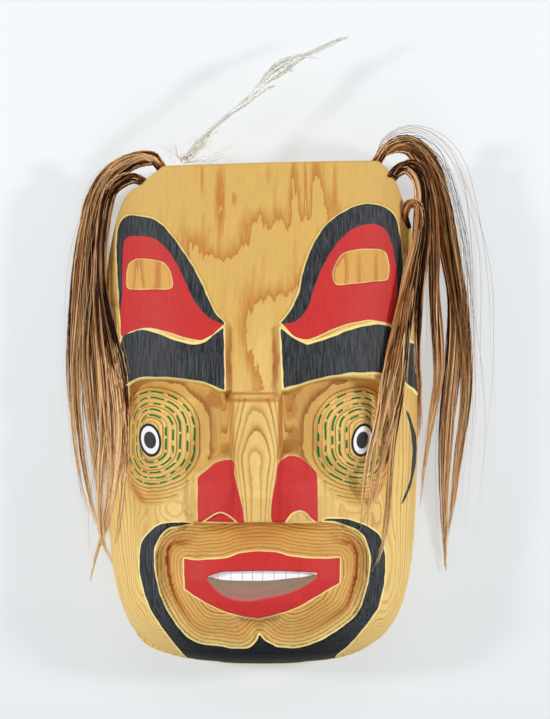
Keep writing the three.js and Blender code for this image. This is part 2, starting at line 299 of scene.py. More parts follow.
BEARD_INNER_EDGE = [
    (53.8, 93.6), (60.9, 90.6), (65.6, 85.9), (68.6, 78.1), (69.5, 69.8), (68.6, 60.2), (66.3, 50.7),
    (63.3, 41.2), (58.5, 34), (49, 26.9), (39.5, 21), (31, 17.3), (22.7, 15.2), (10.9, 15.6), (7.2, 17.3),
    (1.9, 20), (-1.3, 24.2), (-1.3, 24.2), (-3.4, 19.7), (-7, 15.9), (-11.8, 14.7), (-19, 14.7),
    (-24.9, 16.1), (-36.8, 17.2), (-42.8, 19.1), (-48.8, 23.3), (-54.7, 30.4), (-60.6, 39.9),
    (-64.9, 49.5), (-67.2, 59), (-68.6, 68.5), (-68.6, 75.7), (-67.2, 81.6), (-63.6, 87.6), (-58.3, 91.9),
    (-51.1, 93.4),
]
BEARD = outline([
    (-44, 94.7), (-44, 94.7), (-51.2, 95.6), (-59.6, 94.9), (-65.5, 93.5), (-71.4, 88.8), (-75.7, 83.4),
    (-77.6, 76.8), (-78, 69.6), (-77.5, 61.3), (-75.7, 53), (-72, 42.2), (-66.7, 32.6), (-56, 17.2),
    (-50, 8), (-40, -5), (40, -5), (48, 8), (56.2, 16.5), (69.2, 32.6), (74.6, 41), (77.6, 53),
    (78.8, 63.6), (78.6, 74.5), (76.4, 84), (71.8, 89.8), (64.5, 94), (57.4, 96.5), (49, 98), (43, 98),
    (38.9, 97), (38.9, 97), (46.6, 96), *BEARD_INNER_EDGE,
])
MUZZLE = outline([(-48, 115), (-48, 115), *BEARD_INNER_EDGE[::-1], (48, 115), (48, 115)])
LEFT_SOCKET = [
    (-24, 179), (-24, 179), (-17.5, 175), (-17, 137), (-24, 137), (-30, 134.5), (-36, 129), (-42, 124),
    (-50, 113), (-60, 107), (-70, 105), (-78, 108), (-86, 120), (-90, 135), (-90, 160), (-86, 178),
    (-80, 186), (-57, 188), (-40, 186), (-30, 182),
]
SOCKETS = outlines(LEFT_SOCKET, [(2 * FACE_X - x, y) for x, y in LEFT_SOCKET])
CRESCENT = outline([
    (91, 171), (91, 171), (96.5, 160), (100, 148), (100, 134), (97.5, 121), (93.5, 111), (90, 106),
    (90, 106), (91.5, 111.5), (95.3, 121), (97, 134), (96.8, 147), (94.5, 159),
])


# The pale painted highlight on the bevel along each outline: how clear it is and how wide. Then the orange
# blotches in the wood.
HIGHLIGHTED_BEVELS = {
    "ear": (0.95, 0.95), "bare": (0.4, 0.7), "brow": (1.0, 1.7), "wing": (0.25, 0.5),
    "lips": (0.75, 0.9), "beard": (0.9, 1.0), "crescent": (0.2, 0.5),
}
BLOTCHES = [
    ((-31, 173), (7, 5), 0.6), ((20, 148), (4.5, 9), 0.6), ((19, 170), (4, 9), 0.5),
    # The blotch at (-84, 172) is painted shade in the pocket between the eyeball and the brow's outer end.
    ((-84, 172), (4, 12), 0.8), ((-47.5, 112), (1.7, 16), 0.4), ((-43.2, 110), (1.2, 15), 0.35),
    ((40, 110), (1.6, 14), 0.35), ((45, 106), (1.4, 10), 0.3),
]

# The flat-sawn figure of the forehead: lines along which a growth ring comes out, and islands of late
# wood as (middle, size, share of a ring).
FIGURE_BASE = 0.33
FIGURE_AREAS = [
    [(-120, 400), (-120, 230), (-46, 230), (-44.5, 272), (-43, 274.5), (-38.5, 258.5), (-32.5, 262.5),
     (-28, 258), (-23, 258.5), (-16, 261.5), (-10, 269), (-6, 275), (-4.8, 283), (-1.5, 290),
     (1.5, 286), (4, 280.5), (8.5, 281.5), (12.3, 285.5), (18, 280.5), (23, 280.5), (27.5, 286),
     (34, 287.5), (40, 293), (43, 275), (120, 260), (120, 400)],
    [(-120, 400), (-120, 150), (3, 150), (1.1, 181.6), (0, 186), (-3.1, 196.4), (-5.3, 204.8),
     (-7.4, 213.3), (-6.3, 222), (-3.6, 228), (-1, 234), (3.5, 236), (8.5, 238),
     (18, 240.5), (23, 242), (34, 246), (41.5, 256), (43, 232), (120, 232), (120, 400)],
]
ISLANDS = [
    ((-26.5, 301), (4.0, 23), 0.55), ((-17.7, 301), (1.8, 5), 0.5), ((-38, 316), (1.2, 12), 0.4),
    ((-42, 320), (1.0, 9), 0.4), ((21, 306), (3.4, 30), 0.42), ((28, 310), (1.0, 26), 0.4),
    ((35, 306), (4.6, 26), 0.5), ((47, 310), (2.0, 20), 0.42), ((4, 316), (2.5, 8), 0.3),
    ((8, 200), (1.6, 16), 0.4), ((-79, 252), (3.5, 30), 0.6),
    ((-66, 252), (2.0, 30), 0.5), ((51, 258), (4.5, 30), 0.55), ((62, 258), (1.5, 30), 0.45),
    ((73, 258), (1.5, 30), 0.5),
]
CHEEK_LOOPS = [
    ((-79, 66), (4.5, 26), 1.7), ((-70, 26), (5, 13), 1.4), ((-76, 90), (4, 9), 1.2),
    ((-58, 104), (8, 7), 1.6), ((-45, 112), (5, 14), 1.0), ((84, 58), (7, 32), 2.2),
    ((79, 24), (4, 15), 1.3), ((62, 108), (8, 7), 1.5), ((76, 100), (4, 12), 1.3),
]


def islands(points, places):
    x, y = points.T
    turns = np.zeros(len(x))
    for place, size, amount in places:
        away = ((x - place[0]) / size[0]) ** 2 + ((y - place[1]) / size[1]) ** 2
        turns += amount * np.exp(-(away**1.5))
    return turns


def forehead_figure(points):
    """How many rings have come out at each place, where each area's border is the end of a ring."""
    turns = FIGURE_BASE + islands(points, ISLANDS)
    for area in FIGURE_AREAS:
        inside = inside_mm(points, np.array(area, float), FIGURE_FAR)
        turns += np.where(inside > 0, 0.67 * np.exp(-np.maximum(inside, 0) / FIGURE_FADE[0]),
                          1 - 0.33 * np.exp(np.minimum(inside, 0) / FIGURE_FADE[1]))
    return turns


def nose_figure(x, y):
    """The same along the bridge: nested arches."""
    side = np.minimum(np.abs(x - FACE_X) / profile(BRIDGE_EDGE, y), 1.3)
    arches = NOSE_ARCHES["per_mm"] * np.maximum(0, y - NOSE_ARCHES["from_y"])
    return NOSE_ARCHES["first"] - arches - NOSE_ARCHES["curve"] * side**2


def muzzle_figure(points):
    """Rings that run along the chin's edge below, and round the lips above."""
    turned = [(SOFTENING * math.cos(a), SOFTENING * math.sin(a)) for a in np.arange(8) * math.pi / 4]
    edge = np.mean([inside_mm(points + step, MUZZLE, MUZZLE_FAR) for step in turned], axis=0)
    lips = -np.mean([inside_mm(points + step, LIPS, MUZZLE_FAR) for step in turned], axis=0)
    share = smooth(*LIP_RINGS_FROM, points[:, 1])
    return (20 - edge) / MUZZLE_RINGS * (1 - share) + lips / LIP_RINGS * share


def across_eye(side):
    """How far towards the nose from the eye's middle, or outwards, where the rings are squeezed."""
    inward = EYE_SIDE - side
    return np.where(inward > 0, inward, inward * OUTER_SQUEEZE)


def socket_figure(x, y):
    """Rings round the eye, which open out towards the nose."""
    above = (y - EYE_Y) * ABOVE_EYE[0] - ABOVE_EYE[1]
    below = (EYE_Y - y) * BELOW_EYE[0] - BELOW_EYE[1]
    away = np.hypot(across_eye(np.abs(x - FACE_X)), np.maximum(0, np.maximum(above, below)))
    last = EYE_RINGS + MORE_RINGS_BELOW * smooth(124, 114, y)
    further = last / EYE_RING_WIDTH + (away - last) / FAR_EYE_RING_WIDTH
    return -np.where(away < last, away / EYE_RING_WIDTH, further)


def half_width(y):
    return JAW_HALF_WIDTH + (HALF_WIDTH - JAW_HALF_WIDTH) * smooth(0, WIDEST_Y, y)


def arch_height(x, y):
    """The plain arched front before any carving."""
    side = np.abs(x) / half_width(y)
    jaw = np.maximum(0, JAW_Y - y) / (JAW_Y - CHIN_Y)
    rise = np.sqrt(np.maximum(0, 1 - side**ARCH_POWER - jaw**CHIN_POWER))
    return EDGE_HEIGHT + (profile(CROWN, y) - EDGE_HEIGHT) * rise


OUTLINES = {
    "ear": EARS, "field": RED_FIELDS, "bare": BARE_PATCHES, "brow": BROWS, "wing": WINGS,
    "nostril": NOSTRILS, "right_nostril": NOSTRILS[1:], "lips": [LIPS], "teeth": [TEETH],
    "mouth": [MOUTH], "beard": [BEARD], "crescent": [CRESCENT], "socket": SOCKETS,
}


def marks(points):
    """How far each point lies inside each carved or painted outline."""
    d = {"muzzle": inside_mm(points, MUZZLE, MUZZLE_FAR)}
    for name, lines in OUTLINES.items():
        d[name] = np.max([inside_mm(points, line) for line in lines], axis=0)
    return d


def ring_height(x, y, radius):
    """How high a growth ring of this radius runs."""
    tilt = TILT * np.maximum(0, y - TILT_FROM)
    return np.sqrt(radius**2 - (x - PITH[0]) ** 2) + PITH[1] - tilt


def eye_surface(side, x, y):
    """The eyeball, a blunt cone cut through the growth rings, and the ring along the socket's floor."""
    up = np.maximum(0, np.abs(y - EYE_Y) * EYE_TALL[0] - EYE_TALL[1])
    away = np.minimum(across_eye(side) ** 2 + up**2, EYE_REACH**2)
    fall = EYE_SLOPE * np.sqrt(away + EYE_FLAT**2)
    apex = arch_height(EYE_SIDE - FACE_X, EYE_Y) + EYE_PROUD
    radius = math.hypot(EYE_SIDE, apex - PITH[1])
    return ring_height(x, y, radius - fall), ring_height(x, y, radius - SOCKET_DEPTH)


def nose_surface(side, x, y, d):
    """The bridge and the two nostril wings."""
    up = (y - BRIDGE["tip_y"]) / (BRIDGE["root_y"] - BRIDGE["tip_y"])
    edge = profile(BRIDGE_EDGE, y)
    ridge = BRIDGE["tip_z"] + (BRIDGE["root_z"] - BRIDGE["tip_z"]) * up
    steep = 2 + 3 * smooth(125, 140, y)
    bridge = ridge - BRIDGE["round"] * (side / 12) ** 2 - steep * np.maximum(0, side - edge)
    wing_top = WING_TOP - 8 * np.clip((side - 13.5) / 23, 0, 2) ** 1.4 - 5 * smooth(116, 137, y)
    slope = 1.0 + 0.9 * smooth(118, 130, y)
    wing = wing_top - slope * np.maximum(0, -d["wing"] - 0.3)
    wing -= NOSTRIL_DEPTH * smooth(-0.4, 1.2, d["nostril"])
    return np.maximum(bridge, np.where(side < 48, wing, 0))


def beside_mouth(x, y):
    return smooth(10, 54, np.abs(x)) * smooth(12, 64, y) * smooth(95, 81, y)


def muzzle_surface(x, y, d):
    """The muzzle: from the beard's inner edge down a groove at each side, then up to the lips."""
    curve = MUZZLE_CURVE * (1 - 0.75 * smooth(78, 93, y))
    core = profile(MUZZLE_LINE, y) - curve * np.minimum(1.2, np.abs(x) / 49) ** 3.5
    at_side = beside_mouth(x, y)
    skirt = profile(CHIN_SKIRT, d["muzzle"])
    skirt += (profile(SIDE_GROOVE, d["muzzle"]) - skirt) * at_side
    skirt += (core - skirt) * smooth(-3, 1, d["lips"])
    gap = core - skirt
    inner = core - np.where(np.abs(gap) < 3, (gap + 3) ** 2 / 12, np.maximum(gap, 0))
    inner += LIP_RISE * smooth(-0.6, 0.6, d["lips"])
    deep = np.where(d["teeth"] > -0.5, smooth(-0.4, 0.9, d["mouth"]), smooth(-0.5, 7.5, d["mouth"]))
    inner -= TEETH_DEPTH * deep
    arch = arch_height(x, y)
    return arch + (inner - arch) * smooth(-1.5, 1.5, d["muzzle"])


def carved_height(points, d):
    """The height of the finished front at each point."""
    x, y = points[:, 0], points[:, 1]
    side = np.abs(x - FACE_X)
    cheek = arch_height(x, y)
    ball, floor = eye_surface(side, x, y)
    wide = np.maximum(smooth(138, 118, y), smooth(84, 92, side))
    wall = SOCKET_WALL[0] + (SOCKET_WALL[1] - SOCKET_WALL[0]) * wide
    sunk = smooth(0, 1, d["socket"] / wall) * smooth(0, BROW_UNDERSIDE, -d["brow"])
    face = cheek + (np.minimum(cheek, np.maximum(floor, ball)) - cheek) * sunk
    relief = EAR_RISE * smooth(-EAR_BEVEL, 0, d["ear"]) * (1 - smooth(-BROW_BEVEL, 0, d["brow"]))
    relief += BROW_RISE * smooth(-BROW_BEVEL, 0, d["brow"])
    relief -= BARE_DEPTH * smooth(-0.6, 0.5, d["bare"])
    strip = smooth(17.5, 14.5, np.abs(x - STRIP_X))
    relief -= STRIP_DEPTH * strip * smooth(232, 218, y) * smooth(NOTCH_Y - 2, NOTCH_Y + 1, y)
    face += relief
    muzzle = muzzle_surface(x, y, d)
    face = muzzle + (face - muzzle) * smooth(MUZZLE_TOP - 3, MUZZLE_TOP, y)
    nose = smooth(BRIDGE["tip_y"] - 0.8, BRIDGE["tip_y"] + 1.5, y) * (1 - smooth(175.5, 178.5, y))
    face += (np.maximum(face, nose_surface(side, x, y, d)) - face) * nose
    face -= NOTCH_DEPTH * strip * np.exp(-(((y - NOTCH_Y) / NOTCH_HALF_HEIGHT) ** 2))
    return face - BEARD_DEPTH * smooth(-0.8, 0.6, d["beard"])


def jaw_point(angle):
    across, down = np.cos(angle), np.sin(angle)
    y = JAW_Y - (JAW_Y - CHIN_Y) * np.abs(down) ** (2 / JAW_POWER)
    return np.stack([np.sign(across) * half_width(y) * np.abs(across) ** (2 / JAW_POWER), y], -1)


def side_run(sign, shoulder, top):
    cheek = jaw_point(math.pi / 4 * (1 - np.arange(10) / 9)) * (sign, 1)
    upper = [(sign * half_width(y), y) for y in (165, 200, SHOULDER_Y)]
    return spline(np.vstack([cheek, upper, shoulder, [top]]), 24)


def left_corner(line):
    """Lets the chin's left corner stand out a little more than the right one."""
    near = np.exp(-((line - CHIN_CORNER) ** 2).sum(1) / CHIN_CORNER_REACH**2)
    return line + near[:, None] * CHIN_CORNER_SHIFT


CHIN_RUN = left_corner(spline(jaw_point(math.pi * (0.75 - 0.5 * np.arange(25) / 24)), 24))
LEFT_RUN = left_corner(side_run(-1, LEFT_SHOULDER, TOP_LEFT))
RIGHT_RUN = side_run(1, RIGHT_SHOULDER, TOP_RIGHT)


def board_point(share):
    """Places on the board from two shares, 0 to 1: across from the left side, and up from the chin."""
    across, up = share[:, :1], share[:, 1:]
    left, right = along(LEFT_RUN, share[:, 1]), along(RIGHT_RUN, share[:, 1])
    high = np.array(TOP_LEFT) + (np.array(TOP_RIGHT) - TOP_LEFT) * across
    low_chord = LEFT_RUN[0] + (RIGHT_RUN[0] - LEFT_RUN[0]) * across
    rows = left + (right - left) * across
    columns = along(CHIN_RUN, share[:, 0]) * (1 - up) + high * up
    return rows + columns - (low_chord * (1 - up) + high * up)


def hollow_height(x, y):
    """The roof of the hollow, with the shallow scallops that a gouge leaves."""
    high = HOLLOW_MIDDLE_Y + (y - HOLLOW_MIDDLE_Y) / HOLLOW_SCALE[1]
    side = np.abs(x / HOLLOW_SCALE[0]) / half_width(high)
    jaw = np.maximum(0, JAW_Y - high) / (JAW_Y - CHIN_Y)
    top = np.maximum(0, (y - HOLLOW_TOP[0]) / (HOLLOW_TOP[1] - HOLLOW_TOP[0]))
    whole = np.minimum(1, (side**JAW_POWER + jaw**JAW_POWER + top**JAW_POWER) ** (1 / JAW_POWER))
    across = (x - FACE_X) / NOSE_HOLLOW["half_width"]
    up = (y - NOSE_HOLLOW["y"]) / NOSE_HOLLOW["half_length"]
    behind_nose = NOSE_HOLLOW["depth"] * np.exp(-(across**2) - up**2)
    rise = np.sqrt(1 - whole**ARCH_POWER)
    stroke = np.abs(np.sin(math.pi * (x + 2.5 * np.sin(y / 19)) / GOUGE_WIDTH))
    end = np.abs(np.sin(math.pi * y / GOUGE_STROKE + 1.7 * np.floor(x / GOUGE_WIDTH)))
    gouge = (GOUGE_DEPTH[0] * (1 - stroke) + GOUGE_DEPTH[1] * (1 - end)) * smooth(0, 0.35, rise)
    return (profile(CROWN, y) - FRONT_THICKNESS + behind_nose) * rise - gouge


def lay_grid(bm, steps, margin):
    """A grid whose corners are shares of the board, kept away from its edge by a margin."""
    made = bmesh.ops.create_grid(bm, x_segments=steps[0], y_segments=steps[1], size=0.5)
    verts = made["verts"]
    share = np.array([vert.co.xy for vert in verts]) + 0.5
    return verts, share * (1 - 2 * np.array(margin)) + margin


def put(verts, points):
    for vert, point in zip(verts, to_row(points)):
        vert.co = point


def rim_of(bm, verts):
    known = set(verts)
    return [edge for edge in bm.edges if edge.is_boundary and edge.verts[0] in known]


def pull(bm, edges, reach, height):
    """Extrudes the rim to where reach and height say, and returns its new edges."""
    made = bmesh.ops.extrude_edge_only(bm, edges=edges)["geom"]
    verts = [item for item in made if isinstance(item, bmesh.types.BMVert)]
    points = (np.array([vert.co for vert in verts]) - ORIGIN) / MM
    put(verts, np.column_stack([reach(points[:, :2]), height(points[:, 2])]))
    return [item for item in made if isinstance(item, bmesh.types.BMEdge)]


EDGE_LINE = np.vstack([LEFT_RUN[::-1], CHIN_RUN, RIGHT_RUN, [TOP_LEFT]])


def grow(flat, distance):
    """Moves flat points to the board's edge line, and away from its middle by a distance."""
    start, run = EDGE_LINE[:-1], np.diff(EDGE_LINE, axis=0)
    length = np.maximum((run**2).sum(1), 1e-9)
    moved = []
    for p in flat:
        t = np.clip(((p - start) * run).sum(1) / length, 0, 1)
        near = start + t[:, None] * run
        best = np.argmin(((near - p) ** 2).sum(1))
        normal = np.array([-run[best][1], run[best][0]]) / math.sqrt(length[best])
        outward = np.sign(normal @ (near[best] - BOARD_MIDDLE))
        moved.append(near[best] + normal * outward * distance)
    return np.array(moved)


def add_attribute(mesh, name, values):
    attribute = mesh.attributes.new(name, "FLOAT", "POINT")
    attribute.data.foreach_set("value", np.asarray(values, np.float32))


def rows_of(things, name):
    rows = np.empty(len(things) * 3)
    things.foreach_get(name, rows)
    return rows.reshape(-1, 3)


def add_piece(name, data):
    piece = bpy.data.objects.new(name, data)
    scene.collection.objects.link(piece)
    return piece


# What the mask's material reads at each point of its mesh: where paint, the bevels' painted highlight,
# figure, stains and painted shade are.
# On the edge and in the hollow, the first ten hold the values given here.
BLANK = {"black_paint": -FAR, "red_paint": -FAR, "teeth": -FAR, "inner_mouth": -FAR,
         "nostril_edge": -FAR, "bevel_highlight": -FAR, "carved": 0, "loops": 0, "figured": 0, "shade_and_stain": 0}
WOOD_VALUES = (*BLANK, "bevel_highlight_strength", "figure", "warmth_and_shade")


def paint_values(x, y, d):
    """How far inside each coat of paint and each bevel's painted highlight, and how far from the nearest
    highlighted outline.
    """
    hand = 0.25 * np.sin(x / 2.3 + np.sin(y / 3.1)) * np.sin(y / 2.7)
    ear = np.minimum(d["ear"], -d["bare"])
    red = [np.minimum(d["field"], ear), np.minimum(d["wing"], -d["right_nostril"]), d["lips"]]
    edges = np.stack([ear if name == "bare" else d[name] for name in HIGHLIGHTED_BEVELS])
    edges[list(HIGHLIGHTED_BEVELS).index("brow")] -= 0.8 * smooth(19.5, 18.5, np.abs(x - STRIP_X))
    clear, wide = np.array(list(HIGHLIGHTED_BEVELS.values())).T
    share = np.exp(-np.minimum(np.abs(edges), 8))
    return {
        "black_paint": np.maximum.reduce([ear, d["brow"], d["beard"], d["crescent"]]) + hand,
        "red_paint": np.maximum.reduce(red) + hand * 0.6,
        "teeth": d["teeth"],
        "inner_mouth": np.minimum(d["mouth"], -d["teeth"] + 1),
        # The nostril's arc takes the bevels' painted highlight too.
        "nostril_edge": 0.55 - np.abs(d["nostril"]),
        "bevel_highlight": np.minimum(np.max(edges + wide[:, None], axis=0), HIGHLIGHTED_BEVELS["bare"][1] - d["bare"]),
        "bevel_highlight_strength": (share * clear[:, None]).sum(0) / share.sum(0),
    }, np.min(np.abs(edges), axis=0)


def figure_values(x, y, d):
    """Where the growth lines leave their plain rings, how they run there and how warm the wood is; in the
    sockets and on the muzzle the warmth is partly painted shade.
    """
    side, flat = np.abs(x - FACE_X), np.column_stack([x, y])
    socket = smooth(0, 2, d["socket"]) * smooth(0, 2, -d["brow"])
    nose = smooth(23, 19, side) * smooth(94, 97, y) * smooth(178, 174, y)
    muzzle = smooth(-1, 1, d["muzzle"]) * smooth(97, 95, y)
    forehead = smooth(-1, 2, y - np.where(np.abs(x - STRIP_X) < 20, NOTCH_Y + 2, 222))
    near_eye = smooth(46, 36, EYE_SIDE - side)
    turns = np.select(
        [muzzle > 0, nose > 0, forehead > 0],
        [muzzle_figure(flat), nose_figure(x, y), forehead_figure(flat)], socket_figure(x, y))
    # In the sockets the tan is partly painted shade, more so towards the outer side and under the brow. On
    # the muzzle it is partly painted shade below the nose and partly the wood's warmer tone.
    outer = smooth(62, 84, side) * 0.4 + smooth(165, 185, y) * 0.2
    return {
        "carved": np.maximum.reduce([muzzle, socket * (0.2 + 0.6 * near_eye), nose * 0.45]),
        "loops": RING_SPACING * islands(flat, CHEEK_LOOPS),
        "figured": np.maximum.reduce([nose, forehead, muzzle, socket]),
        "figure": FIGURE_RADIUS + RING_SPACING * turns,
        "warmth_and_shade": np.maximum.reduce([
            socket * (0.1 + outer), 0.5 * smooth(0, 1, d["bare"]), 0.6 * smooth(0, 1, d["right_nostril"]),
            muzzle * smooth(2, 8, d["muzzle"]) * (0.55 - 0.05 * smooth(60, 80, y))]),
    }, nose


def shade_and_stain_value(x, y, d, steep):
    """Brown painted shade on the nose's steep walls, beside the strip between the brows, along the notch
    at the nose's root, in the grooves beside the mouth, in the socket's lower outer crease and above the
    lips under the nose; then a few blotches.
    """
    groove = np.exp(-(((d["muzzle"] - GROOVE[0]) / GROOVE[1]) ** 2))
    groove += 0.8 * np.exp(-(((d["muzzle"] - GROOVE[0] + 0.8) / 0.9) ** 2))
    groove *= beside_mouth(x, y) * smooth(87, 79, y)
    from_strip = np.abs(x - STRIP_X) + 0.5 * np.sin(y / 4.7) + 0.3 * np.sin(y / 1.9)
    strip = smooth(222, 218, y) * smooth(172, 176, y) * smooth(12.7, 13.5, from_strip)
    strip *= smooth(17.3, 16.5, from_strip) * (0.75 + 0.25 * np.sin(y / 7.3))
    notch = smooth(1.0, 0.4, np.abs(np.abs(y - NOTCH_Y) - 2.3)) * smooth(17, 15.5, from_strip)
    crease = np.exp(-(((d["socket"] - 2.5) / 2.2) ** 2)) * smooth(66, 74, np.abs(x - FACE_X))
    crease *= smooth(128, 112, y) * smooth(1.5, 3, -d["beard"])
    above_lips = 0.22 * smooth(1, 4, d["muzzle"]) * smooth(60, 70, y)
    shade_and_stain = np.maximum.reduce([steep, strip, notch * 0.8, groove, crease * 0.9, above_lips])
    for place, size, amount in BLOTCHES:
        across, up = (x - place[0]) / size[0], (y - place[1]) / size[1]
        uneven = 0.35 * np.sin(1.1 * x + 0.4 * y) * np.sin(0.5 * y)
        away = across**2 * (1.4 + np.clip(up, -1, 1)) + up**2 + uneven
        shade_and_stain = np.maximum(shade_and_stain, amount * smooth(1.3, 0.8, away))
    return shade_and_stain


def mask_body():
    bm = bmesh.new()
    front, share = lay_grid(bm, FRONT_STEPS, ARRIS / np.array(BOARD_SIZE))
    count = len(front)
    flat = board_point(share)
    put(front, np.column_stack([flat, carved_height(flat, marks(flat))]))
    edges = rim_of(bm, front)
    for reach, height in (
        (lambda flat: grow(flat, 0), lambda z: z - ARRIS),
        (lambda flat: flat, lambda z: z - EDGE_BAND),
        (lambda flat: flat, lambda z: np.full(len(z), ARRIS)),
        (lambda flat: grow(flat, -ARRIS), lambda z: np.zeros(len(z))),
    ):
        edges = pull(bm, edges, reach, height)
    back, share = lay_grid(bm, HOLLOW_STEPS, (0, 0))
    flat = board_point(share)
    flat[:, 0] *= HOLLOW_SCALE[0]
    flat[:, 1] = HOLLOW_MIDDLE_Y + (flat[:, 1] - HOLLOW_MIDDLE_Y) * HOLLOW_SCALE[1]
    put(back, np.column_stack([flat, np.maximum(0, hollow_height(flat[:, 0], flat[:, 1]))]))
    bmesh.ops.bridge_loops(bm, edges=edges + rim_of(bm, back))
    bmesh.ops.recalc_face_normals(bm, faces=bm.faces)
    mesh = bpy.data.meshes.new("mask_body_carved")
    bm.to_mesh(mesh)
    bm.free()

    points = (rows_of(mesh.vertices, "co") - ORIGIN) / MM
    x, y = points[:, 0], points[:, 1]
    d = marks(points[:, :2])
    paint, from_cut = paint_values(x, y, d)
    figure, nose = figure_values(x, y, d)
    # Painted shade on the nose's steep walls. It is stronger on the right wall, as if lit from the left,
    # and kept back from the outlines.
    steep = smooth(0.8, 0.35, rows_of(mesh.vertex_normals, "vector")[:, 2])
    steep *= smooth(1.5, 3, from_cut) * nose * np.where(x > FACE_X, 0.75, 0.4)
    values = {**paint, **figure, "shade_and_stain": shade_and_stain_value(x, y, d, steep)}
    for name, value in values.items():
        if name in BLANK:
            value[count:] = BLANK[name]
        add_attribute(mesh, name, value)
    mesh.shade_smooth()
    return add_piece("mask_body_carved", mesh)


# Hair. Each tuft runs through knots [column, row, height in mm, half width in mm], where column and row
# are where it is seen from above, in steps of a 550 by 719 grid.
GRID_MIDDLE = (275, 359.5)
GRID_AT = (8.5, 198.8)
GRID_STEP = 0.657
VIEW_HEIGHT = 2200
